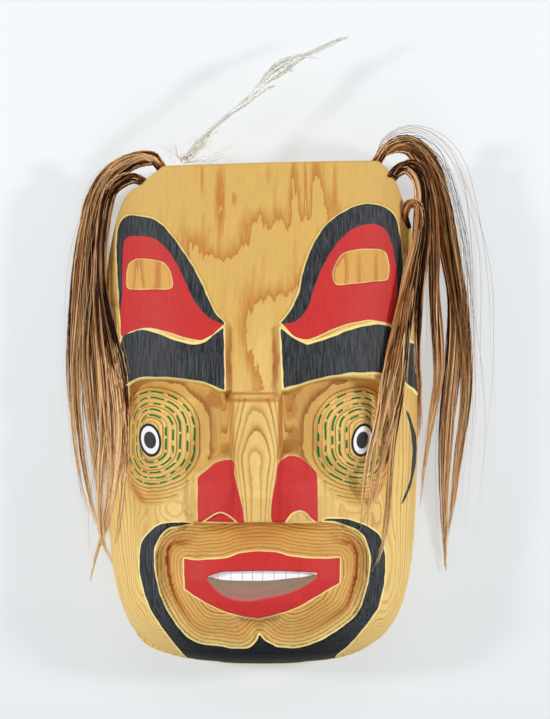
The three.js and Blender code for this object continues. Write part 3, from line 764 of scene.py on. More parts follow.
# The root that a lock's tufts share. Then each tuft's knots, number of strands, tone from 0 dark to
# 1 light, and how loose it is.
TUFTS = {
    "hair_left_upper": ([(163, 171, 45, 2), (158, 163, 46, 2.4)], [
        ([(154, 157, 46, 2.6), (139, 157, 42, 3), (118, 166, 32, 3.4), (101, 181, 22, 3.6),
          (90, 207, 14, 3.6), (84, 245, 10, 3.6), (79, 295, 9, 3.6), (76, 345, 8, 3.2), (77, 395, 8, 2.2),
          (81, 440, 7, 1.5), (87, 480, 6, 1), (95, 515, 5, 0.7), (101, 540, 4, 0.4)], 170, 0.5, 1.0),
        ([(153, 160, 44, 2.6), (137, 162, 39, 3), (119, 172, 29, 3.4), (105, 190, 20, 3.8),
          (96, 217, 13, 4), (90, 260, 10, 4.4), (87, 310, 9, 4.4), (86, 355, 8, 3.6), (89, 400, 8, 2.8),
          (93, 440, 7, 2), (97, 480, 6, 1.2), (102, 515, 5, 0.6)], 190, 0.4, 0.8),
        ([(151, 158, 45, 2.4), (133, 161, 37, 2.8), (115, 176, 25, 3), (104, 200, 17, 3.2),
          (99, 240, 12, 3.4), (96, 290, 9, 3.4), (94, 340, 8, 3), (98, 390, 8, 2.4), (101, 430, 7, 1.8),
          (104, 465, 6, 1.1), (106, 500, 5, 0.6)], 150, 0.45, 1.1),
        ([(146, 155, 46, 2.2), (126, 159, 39, 2.4), (107, 172, 27, 2.6), (92, 195, 18, 2.6),
          (84, 225, 15, 2.6), (77, 270, 13, 2.4), (72, 330, 12, 2.2), (70, 375, 11, 1.6), (74, 430, 9, 1),
          (81, 480, 7, 0.7), (89, 515, 5, 0.4)], 80, 0.45, 2.0),
        ([(144, 152, 48, 3), (120, 155, 42, 5), (98, 168, 32, 7), (84, 195, 24, 8), (76, 235, 20, 9),
          (72, 290, 17, 9), (72, 350, 15, 8), (75, 410, 12, 8), (78, 470, 9, 7), (82, 520, 8, 6)],
         16, 0.3, 3.5),
    ]),
    "hair_left_lower": ([(149, 186, 43, 2), (141, 181, 44, 2.2), (134, 178, 44, 2.6)], [
        ([(121, 179, 42, 2.8), (108, 193, 40, 3), (102, 225, 38, 3), (100, 270, 34, 3.2),
          (101, 320, 31, 3.6), (106, 370, 29, 3.6), (110, 420, 28, 3), (112, 460, 27, 2.2),
          (110, 495, 26, 1.4), (104, 527, 24, 0.9), (96, 556, 22, 0.6), (89, 586, 20, 0.3)],
         150, 0.5, 1.0),
        ([(122, 183, 43, 2.4), (108, 199, 41, 2.4), (101, 240, 38, 2.4), (100, 290, 34, 2.6),
          (106, 335, 32, 3.2), (115, 375, 31, 3.6), (120, 415, 30, 3.4), (119, 455, 29, 2.6),
          (113, 495, 27, 1.6), (106, 528, 25, 1), (99, 550, 23, 0.5)], 130, 0.5, 1.6),
        ([(122, 181, 43, 2.2), (110, 197, 41, 2.4), (102, 240, 38, 2.4), (101, 300, 33, 2.4),
          (102, 360, 30, 2.2), (104, 420, 28, 1.8), (101, 470, 27, 1.2), (100, 515, 26, 0.8),
          (103, 542, 25, 0.5), (109, 556, 24, 0.3), (113, 568, 23, 0.2)], 50, 0.8, 1.4),
        ([(123, 182, 45, 2.2), (110, 198, 43, 2.2), (103, 235, 42, 2.2), (103, 280, 42, 2.2),
          (109, 320, 43, 2.6), (118, 355, 44, 3.6), (124, 385, 44, 3.6), (126, 415, 44, 3),
          (127, 445, 44, 2.2), (125, 478, 43, 1.4), (121, 512, 40, 0.9), (117, 545, 36, 0.5)],
         130, 0.25, 1.5),
    ]),
    "hair_right_upper": ([(374, 166, 45, 2), (380, 157, 47, 2.2)], [
        ([(385, 149, 47, 2.6), (398, 143, 44, 3), (413, 143, 38, 3.2), (427, 154, 30, 3.4),
          (438, 177, 21, 3.4), (445, 210, 15, 3.4), (451, 250, 12, 3.4), (459, 295, 10, 3.6),
          (464, 340, 9, 3.4), (466, 380, 9, 3), (463, 420, 9, 2.4), (458, 455, 8, 2), (454, 490, 7, 1.4),
          (450, 520, 6, 0.9), (446, 545, 5, 0.5)], 180, 0.5, 1.2),
        ([(385, 151, 46, 2.6), (398, 146, 42, 3), (411, 148, 35, 3.4), (422, 162, 27, 3.8),
          (434, 190, 18, 3.8), (441, 225, 13, 3.8), (447, 258, 10, 3.4), (454, 300, 9, 3.2),
          (454, 350, 9, 3.8), (448, 410, 9, 3.8), (445, 460, 8, 2.8), (444, 510, 6, 1.6),
          (445, 546, 4, 0.8), (446, 572, 3, 0.4)], 230, 0.2, 0.8),
        ([(385, 151, 46, 2.2), (397, 149, 42, 2.4), (410, 153, 35, 2.6), (420, 171, 27, 2.6),
          (430, 200, 21, 2.8), (434, 240, 17, 2.8), (434, 290, 14, 2.4), (438, 335, 12, 2.4),
          (439, 370, 11, 2.2), (434, 405, 10, 2), (428, 440, 9, 1.5), (423, 475, 8, 1),
          (420, 510, 6, 0.5)], 110, 0.85, 1.0),
        ([(387, 148, 48, 2), (402, 141, 44, 2.2), (420, 145, 36, 2.4), (434, 163, 28, 2.6),
          (445, 195, 22, 2.6), (452, 235, 18, 2.6), (460, 285, 15, 2.4), (466, 340, 13, 2),
          (468, 390, 11, 1.6), (465, 430, 9, 1.2), (458, 475, 7, 0.8), (451, 520, 5, 0.4)], 70, 0.55, 1.6),
        ([(388, 143, 49, 3), (408, 137, 46, 5), (428, 146, 40, 7), (443, 168, 34, 8), (454, 205, 28, 8),
          (463, 250, 24, 8), (468, 305, 20, 8), (469, 360, 17, 7), (466, 420, 13, 8), (458, 480, 9, 7),
          (451, 540, 6, 7)], 30, 0.3, 3.5),
    ]),
    "hair_right_middle": ([(390, 183, 43, 2), (395, 175, 45, 3), (403, 169, 46, 3.4)], [
        ([(413, 169, 45, 3.2), (421, 182, 42, 3), (424, 205, 40, 3), (424, 245, 37, 3),
          (419, 290, 33, 2.6), (417, 325, 30, 2.6), (417, 355, 29, 2.2), (419, 385, 28, 1.8),
          (420, 415, 27, 1.2), (419, 440, 26, 0.7)], 150, 0.3, 1.0),
        ([(411, 173, 46, 3), (417, 188, 46, 2.8), (417, 215, 46, 2.8), (414, 255, 48, 3),
          (410, 290, 50, 3), (406, 325, 54, 2.8), (403, 360, 58, 2.2), (400, 395, 60, 1.6),
          (395, 430, 60, 1.2), (391, 465, 60, 0.9), (389, 500, 62, 0.7), (387, 525, 64, 0.6),
          (382, 548, 64, 0.5), (372, 573, 64, 0.3)], 120, 0.48, 1.3),
        ([(413, 165, 46, 2.6), (424, 176, 42, 2.4), (430, 210, 39, 2.4), (433, 260, 35, 2),
          (434, 310, 31, 1.8), (436, 350, 28, 1.6), (436, 385, 26, 1.4), (431, 420, 24, 1),
          (426, 450, 22, 0.6)], 80, 0.55, 1.6),
    ]),
    "hair_right_lower": ([(408, 228, 40, 1.5), (405, 215, 45, 1.8), (409, 204, 48, 2.2)], [
        ([(418, 206, 50, 2.2), (419, 228, 51, 2.4), (411, 270, 55, 2.8), (403, 305, 60, 3),
          (397, 338, 63, 2.6), (391, 370, 66, 2), (384, 405, 68, 1.4), (377, 438, 70, 1),
          (373, 468, 71, 0.8), (371, 500, 71, 0.6), (367, 534, 70, 0.3)], 90, 0.42, 1.2),
        ([(419, 208, 51, 2.2), (420, 232, 53, 2.4), (413, 270, 56, 2.8), (407, 300, 58, 3),
          (404, 332, 60, 2.8), (402, 362, 62, 2.2), (399, 392, 64, 1.6), (392, 424, 66, 1.2),
          (384, 455, 68, 0.9), (378, 484, 70, 0.6), (373, 506, 70, 0.3)], 90, 0.3, 1.2),
        ([(417, 205, 51, 2), (416, 236, 54, 2.4), (404, 282, 58, 2.8), (396, 318, 62, 2.8),
          (388, 352, 66, 2), (382, 385, 68, 1.4), (378, 420, 70, 1), (368, 460, 71, 0.7),
          (362, 500, 71, 0.5), (359, 530, 71, 0.3)], 40, 0.5, 1.8),
    ]),
}
# Strands: mm across, and what sets one strand or clump apart from the next.
STRAND_POINTS = 28
STRAND_RADIUS = 0.29
STRAND_GAP = 0.5
STRAY_SHARE = 0.06
STRAY_LEAN = (4.5, 2.5)
STRAY_THICKNESS = 0.36
TONE_SPREAD = (0.36, 0.26)
SHORTNESS = (0.22, 0.1)
FLOOR_GAP = 0.6
CLUMP = 6
THINNEST = 0.2
FIRST_SEED = 11
FEATHER_SEED = 7


def frame_along(route):
    """Sideways and raised directions at each point of a route."""
    ahead = np.gradient(route, axis=0)
    ahead /= np.linalg.norm(ahead, axis=1)[:, None]
    across = np.cross((0, 0, 1), ahead)
    across /= np.linalg.norm(across, axis=1)[:, None]
    return across, np.cross(ahead, across)


def between(table, share):
    """Rows of a table at shares, 0 to 1, of its length."""
    steps = np.linspace(0, 1, len(table))
    return np.column_stack([np.interp(share, steps, column) for column in table.T])


def strands_to_piece(name, strands, radii, tones):
    """Thin closed tubes, one for each strand, all in one mesh, with a tone on each."""
    curve = bpy.data.curves.new(name, "CURVE")
    curve.dimensions = "3D"
    curve.bevel_depth = MM
    curve.bevel_resolution = 0
    for points, radius in zip(strands, radii):
        line = curve.splines.new("POLY")
        line.points.add(len(points) - 1)
        line.points.foreach_set("co", np.column_stack([to_row(points), np.ones(len(points))]).ravel())
        line.points.foreach_set("radius", radius)
    holder = bpy.data.objects.new(name + "_curve", curve)
    mesh = bpy.data.meshes.new_from_object(holder)
    mesh.name = name
    bpy.data.objects.remove(holder)
    bpy.data.curves.remove(curve)
    mesh.materials.clear()
    bm = bmesh.new()
    bm.from_mesh(mesh)
    bmesh.ops.holes_fill(bm, edges=[edge for edge in bm.edges if edge.is_boundary], sides=4)
    bm.to_mesh(mesh)
    bm.free()
    sides = len(mesh.vertices) // (len(strands) * STRAND_POINTS)
    add_attribute(mesh, "tone", np.repeat(tones, sides * STRAND_POINTS))
    add_attribute(mesh, "reach", np.tile(np.repeat(np.linspace(0, 1, STRAND_POINTS), sides), len(strands)))
    mesh.shade_smooth()
    return add_piece(name, mesh)


def lay_over(points, tree, gap):
    """Lifts points that would sink in the face onto its surface."""
    for point in points:
        start = Vector(to_row((point[0], point[1], ABOVE_ALL)))
        hit = tree.ray_cast(start, Vector((0, 0, -1)))[0]
        if hit is not None:
            point[2] = max(point[2], hit.z / MM + gap)


def seen_from_above(knots):
    """Mask millimetres of knots that are given by their place on the grid and their height."""
    knots = np.array(knots, float)
    step = GRID_STEP * (1 - knots[:, 2:3] / VIEW_HEIGHT)
    flat = np.array(GRID_AT) + (knots[:, :2] - GRID_MIDDLE) * (1, -1) * step
    return np.column_stack([flat, knots[:, 2:]])


def tuft(rng, knots, count, tone, loose):
    """Strands in small clumps that cross one another and close up towards the tip."""
    dense = spline(seen_from_above(knots), 16)
    route, half = dense[:, :3], np.maximum(dense[:, 3:], THINNEST)
    across, raised = frame_along(route)
    strands, radii, tones = [], [], []
    for i in range(count):
        if i % CLUMP == 0:
            centre = rng.normal(0, 0.5, 2)
            turn = rng.normal(0, 0.7, 2)
            clump_tone = tone + rng.normal(0, TONE_SPREAD[0])
            clump_end = 1 - SHORTNESS[0] * rng.random() ** 2
            bend, phase = rng.uniform(1.0, 2.6), rng.uniform(0, math.tau, 2)
        stray = loose > 2 or rng.random() < STRAY_SHARE * loose
        end = np.clip(clump_end - SHORTNESS[1] * abs(rng.normal()), 0.4, 1)
        share = np.linspace(0, end, STRAND_POINTS)
        column = share[:, None]
        spread = rng.normal(0, 0.15, 2) * (1 - 0.3 * column)
        place = np.clip(centre + turn * (column - 0.3) + spread, -1.25, 1.25)
        wide = between(half, share)
        sway = (np.sin(column * bend * math.tau + phase) - np.sin(phase)) * smooth(0.1, 0.6, column)
        offset = place * wide * (1, 0.8) + 0.45 * loose * sway
        offset += 0.3 * np.sin(column * rng.uniform(3, 7) * math.tau + rng.uniform(0, math.tau, 2))
        if stray:
            lean = rng.normal(0, 1, 2) * STRAY_LEAN * min(loose, 2)
            offset += lean * smooth(0.05, 1.1, column) * np.cos(column * rng.uniform(0.5, 4))
            bow = np.sin(column * rng.uniform(1, 3) * math.tau + rng.uniform(0, math.tau, 2))
            offset += loose * 0.55 * bow * smooth(0.05, 0.4, column)
        middle, sideways, upwards = [between(table, share) for table in (route, across, raised)]
        points = middle + sideways * offset[:, :1] + upwards * offset[:, 1:]
        points[:, 2] = np.maximum(points[:, 2], FLOOR_GAP)
        strands.append(points)
        thick = STRAND_RADIUS * rng.uniform(0.8, 1.3) * (STRAY_THICKNESS if stray else 1)
        radii.append(thick * (1 - 0.7 * smooth(0.65, 1, np.linspace(0, 1, STRAND_POINTS))))
        tones.append(np.clip(clump_tone + rng.normal(0, TONE_SPREAD[1]) + 0.25 * stray, 0, 1))
    return strands, radii, tones


# The feather, in the same way: quill with its thin end, matted vane, one loose barb, ragged tip and down.
BARBS = [
    ([(184, 160, 41, 0.7), (192, 148, 41, 0.7), (206, 134, 40, 0.8), (221, 120.5, 40, 0.8),
      (239, 106, 39, 0.9), (252, 94, 38, 0.8), (266, 80, 37, 1.0), (292, 61, 35, 0.9), (310, 53, 34, 0.8),
      (328, 44.5, 33, 0.7), (340, 39.5, 32, 0.6), (351, 37, 31, 0.3)], 96, 0.5, 0.3),
    ([(248, 98, 39, 0.5), (258, 88, 39, 0.9), (267, 78.5, 38, 2.2), (276, 71, 37, 3.4), (285, 65, 36, 3.4),
      (294, 60, 36, 2.2), (303, 56, 35, 1.0), (311, 52.5, 34, 0.5)], 240, 0.6, 0.4),
    ([(228, 114, 40, 0.5), (240, 106.5, 40, 1.2), (252, 98, 40, 1.1), (264, 90, 39, 0.8),
      (276, 85, 39, 0.3)], 66, 0.5, 0.3),
    ([(309, 54, 34, 0.7), (318, 50, 34, 1.3), (327, 45.5, 33, 1.1), (336, 41, 33, 1.0),
      (343, 39.5, 32, 0.4)], 48, 0.4, 0.5),
    ([(290, 64, 36, 0.6), (292, 69, 36, 0.8), (294, 74, 36, 0.6)], 6, 0.4, 1.0),
    ([(303, 57, 36, 0.5), (311, 58.5, 36, 0.6), (318, 59, 36, 0.4)], 6, 0.3, 0.6),
    ([(184, 160, 41, 1.0), (194, 149, 41, 2.6), (206, 137, 41, 2.6), (219, 123, 40, 0.8)], 24, 0.9, 1.5),
    ([(184, 161, 41, 1.5), (196, 160, 42, 2), (210, 158, 42, 2), (222, 155, 42, 2), (233, 156, 42, 2),
      (246, 160, 42, 2)], 7, 0.2, 2.4),
    ([(183, 162, 41, 1.5), (174, 150, 42, 2.5), (167, 151, 42, 2.5), (161, 162, 42, 2)], 6, 0.2, 2.4),
    ([(186, 161, 41, 1.5), (198, 146, 42, 3), (206, 140, 42, 3), (203, 149, 42, 3), (210, 152, 42, 3)],
     7, 0.3, 2.4),
    ([(181, 159, 41, 2.5), (185, 156, 43, 3.5), (190, 159, 41, 2.5)], 24, 0.9, 2.0),
]


def lock_of(name, root, tufts, seed):
    """A piece made of tufts, each a list of knots, a count, a tone and how loose it is."""
    rng = np.random.default_rng(seed)
    parts = [tuft(rng, root + knots, *details) for knots, *details in tufts]
    strands, radii, tones = [sum(lists, []) for lists in zip(*parts)]
    for points in strands:
        lay_over(points[2:], surface, STRAND_GAP)
    return strands_to_piece(name, strands, radii, tones)


# Materials. Which output of a node is the main one, where that isn't the first.
MAIN_OUTPUT = {"MIX": 2, "ATTRIBUTE": 2}


def linear(colour):
    """An sRGB hex colour as linear values."""
    channels = [int(colour[i:i + 2], 16) / 255 for i in (0, 2, 4)]
    return (*[c / 12.92 if c <= 0.04045 else ((c + 0.055) / 1.055) ** 2.4 for c in channels], 1.0)


def new_material(name):
    """An empty material, and the function that adds a node to it."""
    material = bpy.data.materials.new(name)
    material.use_nodes = True
    tree = material.node_tree
    tree.nodes.clear()

    def add(kind, *inputs, **named):
        """Adds a node: Math.ADD is a Math node set to ADD. A name in small letters is a setting, and any
        other an input, which takes a value, a hex colour, a socket, or a node for its main output."""
        kind, _, operation = kind.partition(".")
        node = tree.nodes.new("ShaderNode" + kind)
        keys = range(len(inputs))
        if operation:
            node.operation = operation
        if kind == "Mix":
            node.data_type = "RGBA"
            keys = ("Factor", "A", "B")
        settings = {key: value for key, value in named.items() if key.islower()}
        for key, value in settings.items():
            setattr(node, key, value)
        others = [(key.replace("_", " "), value) for key, value in named.items() if key not in settings]
        for key, value in [*zip(keys, inputs), *others]:
            if isinstance(value, str):
                value = linear(value)
            if isinstance(value, bpy.types.Node):
                value = value.outputs[MAIN_OUTPUT.get(value.type, 0)]
            if isinstance(value, bpy.types.NodeSocket):
                tree.links.new(value, node.inputs[key])
            else:
                node.inputs[key].default_value = value
        return node

    return material, add


def finish_material(add, colour, roughness, height=None, **more):
    if height is not None:
        more["Normal"] = add("Bump", Height=height, Distance=BUMP_DEPTH, Strength=1.0)
    add("OutputMaterial", add("BsdfPrincipled", Base_Color=colour, Roughness=roughness, **more))


def shade_stops(ramp, stops):
    """Gives a colour ramp its stops, in rising order from 0 to 1, each a hex colour or a grey."""
    elements = ramp.color_ramp.elements
    for position, _ in stops[1:-1]:
        elements.new(position)
    for element, (position, tone) in zip(elements, stops):
        element.position = position
        element.color = linear(tone) if isinstance(tone, str) else (tone, tone, tone, 1)


BUMP_DEPTH = 0.00022
RING_SHADE = [(0.0, 0.0), (0.45, 0.08), (0.7, 0.4), (0.84, 1.0), (0.985, 1.0), (1.0, 0.0)]
FLAT_SHADE = [(0.0, 0.0), (0.5, 0.0), (0.72, 0.45), (0.97, 1.0), (1.0, 0.0)]
HAIR_SHADE = [(0.0, "120400"), (0.25, "4b230a"), (0.5, "a56734"), (0.75, "da9d64"), (1.0, "fbd9a4")]
# The tan is laid on where the wood is warm; in the sockets and on the muzzle it is partly painted shade.
PALE_WOOD, WARM_WOOD, TAN_WOOD_AND_SHADE = "edcb7c", "d9af5f", "dd993e"
# The bevel colour is a painted highlight, paler than the bare wood, along the carved outlines.
LATE_WOOD, CARVED_LINE, BEVEL_HIGHLIGHT = "bf7934", "8f4f1c", "ffee9f"
# The brown is painted shade in creases and on steep walls, and also the colour of a few blotches. The deep
# brown is painted shade in the grooves beside the mouth.
SHADE_AND_STAIN_BROWN, DEEP_SHADE_BROWN = "b0662c", "5e2b0c"
# The chin black is painted shade where the chin faces down.
# The lighter grey streaks in the black are the grain under the paint and a painted sheen.
BLACK, GRAIN_AND_SHEEN_BLACK, CHIN_SHADE_BLACK = "111315", "4a4d51", "0a0a0a"
RED, WORN_RED = "c6262a", "cc362f"
LOWER_MOUTH, UPPER_MOUTH = "af766d", "8f7d66"
TOOTH, TOOTH_GAP = "f6f4f6", "77757a"
GAP_HALF_WIDTH = 0.22

# Unevenness of the wood and its paint: waves to a millimetre across and along the grain, then detail
# and roughness. Then the knife's facets, about 6 mm wide and 11 mm long.
NOISES = {
    "wander": (0.016, 0.0045, 2, 0.5), "waver": (0.11, 0.014, 4, 0.6), "jagged": (0.32, 0.022, 3, 0.6),
    "blotch": (0.03, 0.008, 3, 0.6), "fibre": (0.9, 0.03, 3, 0.7), "streak": (1.1, 0.035, 4, 0.75),
}
FACETS = (0.16, 0.09, 0.16)
# Each eye is painted in three ovals of these half sizes and tones, whose tops lean outwards.
EYE_OVALS = [((7.2, 10.8), "1d1e1c"), ((5.7, 9.0), "f1eff2"), ((3.9, 5.5), "2e2f31")]
EYE_LEAN = math.radians(-11)
# Dashes round the eye: the rings' reach in mm, a dash's half width and the gaps, both soft-edged, and
# how many dashes the first ring has and each further one adds.
DASH_GREEN = "107539"
FIRST_RING = 10.2
RING_STEP = 4.5
LAST_RING = 4
DASH_HALF_WIDTH = (0.8, 0.6)
DASH_GAP = (0.15, 0.18)
DASHES = 8.4
MORE_DASHES = 2.45


def grain(add, axes, at, noise):
    """Growth rings round the pith, which lies behind the board and runs along it: how far through its
    year the wood is at each place, and how strong that year's line is."""
    x, y, z = axes
    tilt = add("Math.MAXIMUM", add("Math.MULTIPLY_ADD", y, TILT, -TILT * TILT_FROM), 0.0)
    above_pith = add("Math.ADD", z, add("Math.ADD", tilt, -PITH[1]))
    from_pith = add("CombineXYZ", add("Math.ADD", x, -PITH[0]), 0.0, above_pith)
    radius = add("VectorMath.LENGTH", from_pith).outputs["Value"]
    far = add("Math.MULTIPLY_ADD", noise["wander"], 10.0, radius)
    far = add("Math.ADD", far, at["loops"])
    change = add("Math.SUBTRACT", at["figure"], far)
    far = add("Math.MULTIPLY_ADD", change, at["figured"], far)
    ragged = add("MapRange", at["carved"], 0.0, 0.2, 1.2, 0.06)
    far = add("Math.MULTIPLY_ADD", noise["jagged"], ragged, far)
    far = add("Math.MULTIPLY_ADD", noise["waver"], 1.6, far)
    turns = add("Math.DIVIDE", far, RING_SPACING)
    year = add("TexWhiteNoise", W=add("Math.FLOOR", turns), noise_dimensions="1D")
    vigour = add("MapRange", year, 0.0, 1.0, 0.45, 1.0)
    even = add("Math.SUBTRACT", at["figured"], at["carved"])
    return add("Math.FRACT", turns), add("Math.MAXIMUM", vigour, even)


def carved_wood():
    # Clear pine, knife-carved and waxed, with artist's acrylic on it: the eye sees yellow wood with
    # # thin orange growth lines that follow the cuts, flat satin paint, bright bevels whose brightness is
    # a
    # # painted highlight, and brown painted shade in the creases.
    material, add = new_material("waxed_pine_with_acrylic_paint")
    own_place = add("TexCoord").outputs["Object"]
    place = add("Mapping", Vector=own_place, Location=tuple(-ORIGIN / MM), Scale=(1 / MM,) * 3)
    axes = x, y, z = add("SeparateXYZ", place).outputs
    at = {name: add("Attribute", attribute_name=name) for name in WOOD_VALUES}
    noise = {}
    for name, (across, lengthways, detail, roughness) in NOISES.items():
        stretched = add("Mapping", Vector=place, Scale=(across, lengthways, across))
        noise[name] = add("TexNoise", Vector=stretched, Scale=1.0, Detail=detail, Roughness=roughness)

    carved, shade_and_stain, streak = at["carved"], at["shade_and_stain"], noise["streak"]
    ring, vigour = grain(add, axes, at, noise)
    lines = []
    for stops in (FLAT_SHADE, RING_SHADE):
        lines.append(add("ValToRGB", ring))
        shade_stops(lines[-1], stops)
    line = add("Math.MULTIPLY", add("SeparateColor", add("Mix", carved, *lines)), vigour)
    blotch = add("Math.MULTIPLY_ADD", y, 0.002, noise["blotch"])
    pale = add("Mix", add("MapRange", blotch, 0.64, 0.96), PALE_WOOD, WARM_WOOD)
    # Tan where the wood is warm, which in the sockets and on the muzzle is partly painted shade.
    pale = add("Mix", at["warmth_and_shade"], pale, TAN_WOOD_AND_SHADE)
    dark = add("Mix", carved, LATE_WOOD, CARVED_LINE)
    strength = add("Math.MULTIPLY", line, add("MapRange", carved, 0.0, 1.0, 0.95, 1.0))
    wood = add("Mix", strength, pale, dark)
    shade = add("MapRange", noise["fibre"], 0.3, 0.7, 0.93, 1.05)
    wood = add("Mix", 1.0, wood, shade, blend_type="MULTIPLY")
    # Brown painted shade, deepest in the grooves beside the mouth, together with the few blotches' stain.
    deep = add("Mix", add("MapRange", shade_and_stain, 0.9, 1.8), SHADE_AND_STAIN_BROWN, DEEP_SHADE_BROWN)
    wood = add("Mix", add("Math.MULTIPLY", shade_and_stain, 0.9), wood, deep)
    # The pale line along the outlines is a painted highlight on the bevels.
    bevel_highlight = add("Math.MULTIPLY", add("MapRange", at["bevel_highlight"], -0.15, 0.15), at["bevel_highlight_strength"])
    colour = add("Mix", bevel_highlight, wood, BEVEL_HIGHLIGHT)

    # Towards the bottom of the chin the black turns darker and less glossy: painted shade where the chin
    # faces down.
    chin = add("MapRange", y, 30.0, 12.0, 0.0, 0.75)
    # Lighter grey streaks along the grain: the grain under the paint, and painted sheen.
    black = add("Mix", add("MapRange", streak, 0.4, 0.64), BLACK, GRAIN_AND_SHEEN_BLACK)
    black = add("Mix", chin, black, CHIN_SHADE_BLACK)
    red = add("Mix", add("MapRange", streak, 0.35, 0.7), RED, WORN_RED)
    inner = add("Mix", add("MapRange", y, 48.0, 58.0), LOWER_MOUTH, UPPER_MOUTH)
    gaps = 0.0
    for gap in TOOTH_GAPS:
        gaps = add("Math.MAXIMUM", add("Math.COMPARE", x, gap, GAP_HALF_WIDTH), gaps)
    tooth = add("Mix", add("Math.MULTIPLY", gaps, 0.6), TOOTH, TOOTH_GAP)
    for name, outside, inside, coat in (
        ("black_paint", -0.12, 0.12, black), ("red_paint", -0.12, 0.12, red),
        ("inner_mouth", 0.0, 1.4, inner), ("teeth", -0.1, 0.15, tooth),
        ("nostril_edge", -0.1, 0.15, BEVEL_HIGHLIGHT),
    ):
        colour = add("Mix", add("MapRange", at[name], outside, inside), colour, coat)
    colour = eye_paint(add, place, axes, colour)

    facets = add("TexVoronoi", Vector=add("Mapping", Vector=place, Scale=FACETS), Scale=1.0,
                 feature="SMOOTH_F1")
    height = add("Math.MULTIPLY", facets, 1.2)
    height = add("Math.MULTIPLY_ADD", line, 0.12, height)
    height = add("Math.MULTIPLY_ADD", streak, 0.35, height)
    gloss = add("MapRange", chin, 0.0, 0.75, 0.25, 0.03)
    finish_material(add, colour, 0.55, height, Specular_IOR_Level=gloss)
    return material


def eye_paint(add, place, axes, colour):
    """Rings of green dashes round each eye, and the eye itself: black ring, white and pupil."""
    x, y, z = axes
    inward = add("Math.ABSOLUTE", add("Math.SUBTRACT", x, FACE_X))
    inward = add("Math.SUBTRACT", EYE_SIDE, inward)
    up = add("Math.SUBTRACT", y, EYE_Y)
    across = add("Math.MINIMUM", inward, add("Math.MULTIPLY", inward, OUTER_SQUEEZE))
    above = add("Math.MULTIPLY_ADD", up, ABOVE_EYE[0], -ABOVE_EYE[1])
    below = add("Math.MULTIPLY_ADD", up, -BELOW_EYE[0], -BELOW_EYE[1])
    tall = add("Math.MAXIMUM", add("Math.MAXIMUM", above, below), 0.0)
    reach = add("VectorMath.LENGTH", add("CombineXYZ", across, tall)).outputs["Value"]
    unsteady = add("TexNoise", Vector=place, Scale=0.13, Detail=2.0)
    reach = add("Math.SUBTRACT", add("Math.MULTIPLY_ADD", unsteady, 1.4, reach), 0.7)
    number = add("Math.DIVIDE", add("Math.SUBTRACT", reach, FIRST_RING), RING_STEP)
    number = add("Clamp", add("Math.ROUND", number), 0.0, LAST_RING)
    middle = add("Math.MULTIPLY_ADD", number, RING_STEP, FIRST_RING)
    off = add("Math.ABSOLUTE", add("Math.SUBTRACT", reach, middle))
    on_ring = add("MapRange", off, *DASH_HALF_WIDTH)
    count = add("Math.MULTIPLY_ADD", number, MORE_DASHES / math.tau, DASHES / math.tau)
    dash = add("Math.MULTIPLY", add("Math.ARCTAN2", up, across), count)
    dash = add("Math.MULTIPLY_ADD", number, 0.37, dash)
    dash = add("Math.MULTIPLY_ADD", unsteady, 1.6, dash)
    on_dash = add("MapRange", add("Math.PINGPONG", dash, 0.5), *DASH_GAP)
    front = add("MapRange", z, 30.0, 34.0)
    ink = add("Math.MULTIPLY", add("Math.MULTIPLY", on_ring, on_dash), front)
    colour = add("Mix", ink, colour, DASH_GREEN)

    flat = add("CombineXYZ", inward, up)
    turned = add("VectorRotate", Vector=flat, Angle=EYE_LEAN, rotation_type="Z_AXIS")
    for (wide, high), tone in EYE_OVALS:
        ratio = add("VectorMath.MULTIPLY", turned, (1 / wide, 1 / high, 0))
        size = add("VectorMath.LENGTH", ratio).outputs["Value"]
        inside = add("Math.MULTIPLY", add("MapRange", size, 1.02, 0.97), front)
        colour = add("Mix", inside, colour, tone)
    return colour


def horsehair():
    # Brown tail hair, washed and unoiled: dark and light strands side by side, paler at the tips, and
    # darker near the root, which is painted shade.
    material, add = new_material("brown_horsehair")
    tone, reach = [add("Attribute", attribute_name=name) for name in ("tone", "reach")]
    mixed = add("Math.ADD", add("MapRange", reach, 0.7, 1.0, 0.0, 0.65), tone)
    # Darker over the first part of each strand: painted shade near the root.
    mixed = add("Math.ADD", mixed, add("MapRange", reach, 0.0, 0.12, -0.5, 0.0))
    strand = add("ValToRGB", mixed)
    shade_stops(strand, HAIR_SHADE)
    finish_material(add, strand, 0.45, Specular_IOR_Level=0.15)
    return material


def plume():
    # Undyed white feather: matt, a little grey in its thin down.
    material, add = new_material("white_feather")
    barb = add("Mix", add("Attribute", attribute_name="tone"), "d9d7cd", "f8f7f0")
    finish_material(add, barb, 0.8, Specular_IOR_Level=0.2)
    return material


def floor_sheet():
    # An opal sheet that glows a little: painted light that keeps the shadows on it pale, and glows less
    # towards the chin's end.
    material, add = new_material("opal_acrylic_with_painted_glow")
    place = add("TexCoord").outputs["Object"]
    mottle = add("TexNoise", Vector=place, Scale=3.0, Detail=2.0)
    sheet = add("Mix", mottle, "a9acad", "adb0b1")
    # Painted light: the floor's glow, weaker towards the chin's end.
    painted_glow = add("MapRange", add("SeparateXYZ", place).outputs[1], -0.24, 0.1, 0.41, 0.5)
    finish_material(add, sheet, 0.9, Specular_IOR_Level=0.1, Emission_Color="f8fcff",
                    Emission_Strength=painted_glow)
    return material


carving = mask_body()
carving.data.materials.append(carved_wood())
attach(carving, "root")
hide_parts("mask_body")

shape = bmesh.new()
shape.from_mesh(carving.data)
surface = BVHTree.FromBMesh(shape)
shape.free()

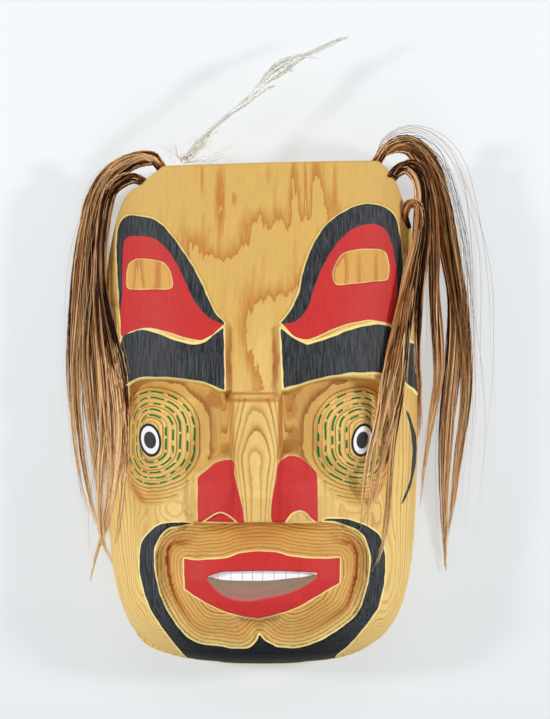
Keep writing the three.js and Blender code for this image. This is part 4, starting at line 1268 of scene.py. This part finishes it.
hair_material = horsehair()
for seed, (name, (root, tufts)) in enumerate(TUFTS.items()):
    lock = lock_of(name + "_strands", root, tufts, seed + FIRST_SEED)
    lock.data.materials.append(hair_material)
    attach(lock, "root")
    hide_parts(name)

vane = lock_of("feather_vane", [], BARBS, FEATHER_SEED)
vane.data.materials.append(plume())
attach(vane, "root")
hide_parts("feather")

# The floor that the mask lies on.
FLOOR_HALF_SIZE = 3
ground = bmesh.new()
bmesh.ops.create_grid(ground, x_segments=1, y_segments=1, size=FLOOR_HALF_SIZE)
floor_mesh = bpy.data.meshes.new("floor")
ground.to_mesh(floor_mesh)
ground.free()
floor = add_piece("floor", floor_mesh)
floor.data.materials.append(floor_sheet())

# Soft light from both sides, above the forehead and below the chin: place and size in metres, watts.
LIT_POINT = Vector((0, 0, 0.05))
LIGHTS = [
    ("left_softbox", (-1.8, 0.2, 1.3), 0.3, 23), ("right_softbox", (1.8, 0.25, 1.3), 0.3, 23),
    ("top_softbox", (0.0, 0.9, 1.3), 0.8, 2.5), ("bottom_softbox", (0.0, -0.9, 1.3), 0.8, 3.2),
]
for name, position, size, power in LIGHTS:
    light = bpy.data.lights.new(name, "AREA")
    light.shape = "DISK"
    light.size = size
    light.energy = power
    lamp = add_piece(name, light)
    lamp.location = position
    lamp.rotation_euler = (LIT_POINT - Vector(position)).to_track_quat("-Z", "Y").to_euler()

ROOM_TONE = "f4f8fb"
ROOM_LIGHT = 0.38
world = bpy.data.worlds.new("studio")
scene.world = world
world.use_nodes = True
room = world.node_tree.nodes["Background"].inputs
room["Color"].default_value = linear(ROOM_TONE)
room["Strength"].default_value = ROOM_LIGHT
scene.view_settings.view_transform = "Standard"

# The camera looks straight down, from well above, with the forehead at the top of the picture.
CAMERA_PLACE = (0.0026, -0.006, 2.2)
SENSOR_WIDTH = 36
LENS = 167.65
camera_data = bpy.data.cameras.new("camera")
camera_data.sensor_width = SENSOR_WIDTH
camera_data.lens = LENS
camera = add_piece("camera", camera_data)
camera.location = CAMERA_PLACE
scene.camera = camera
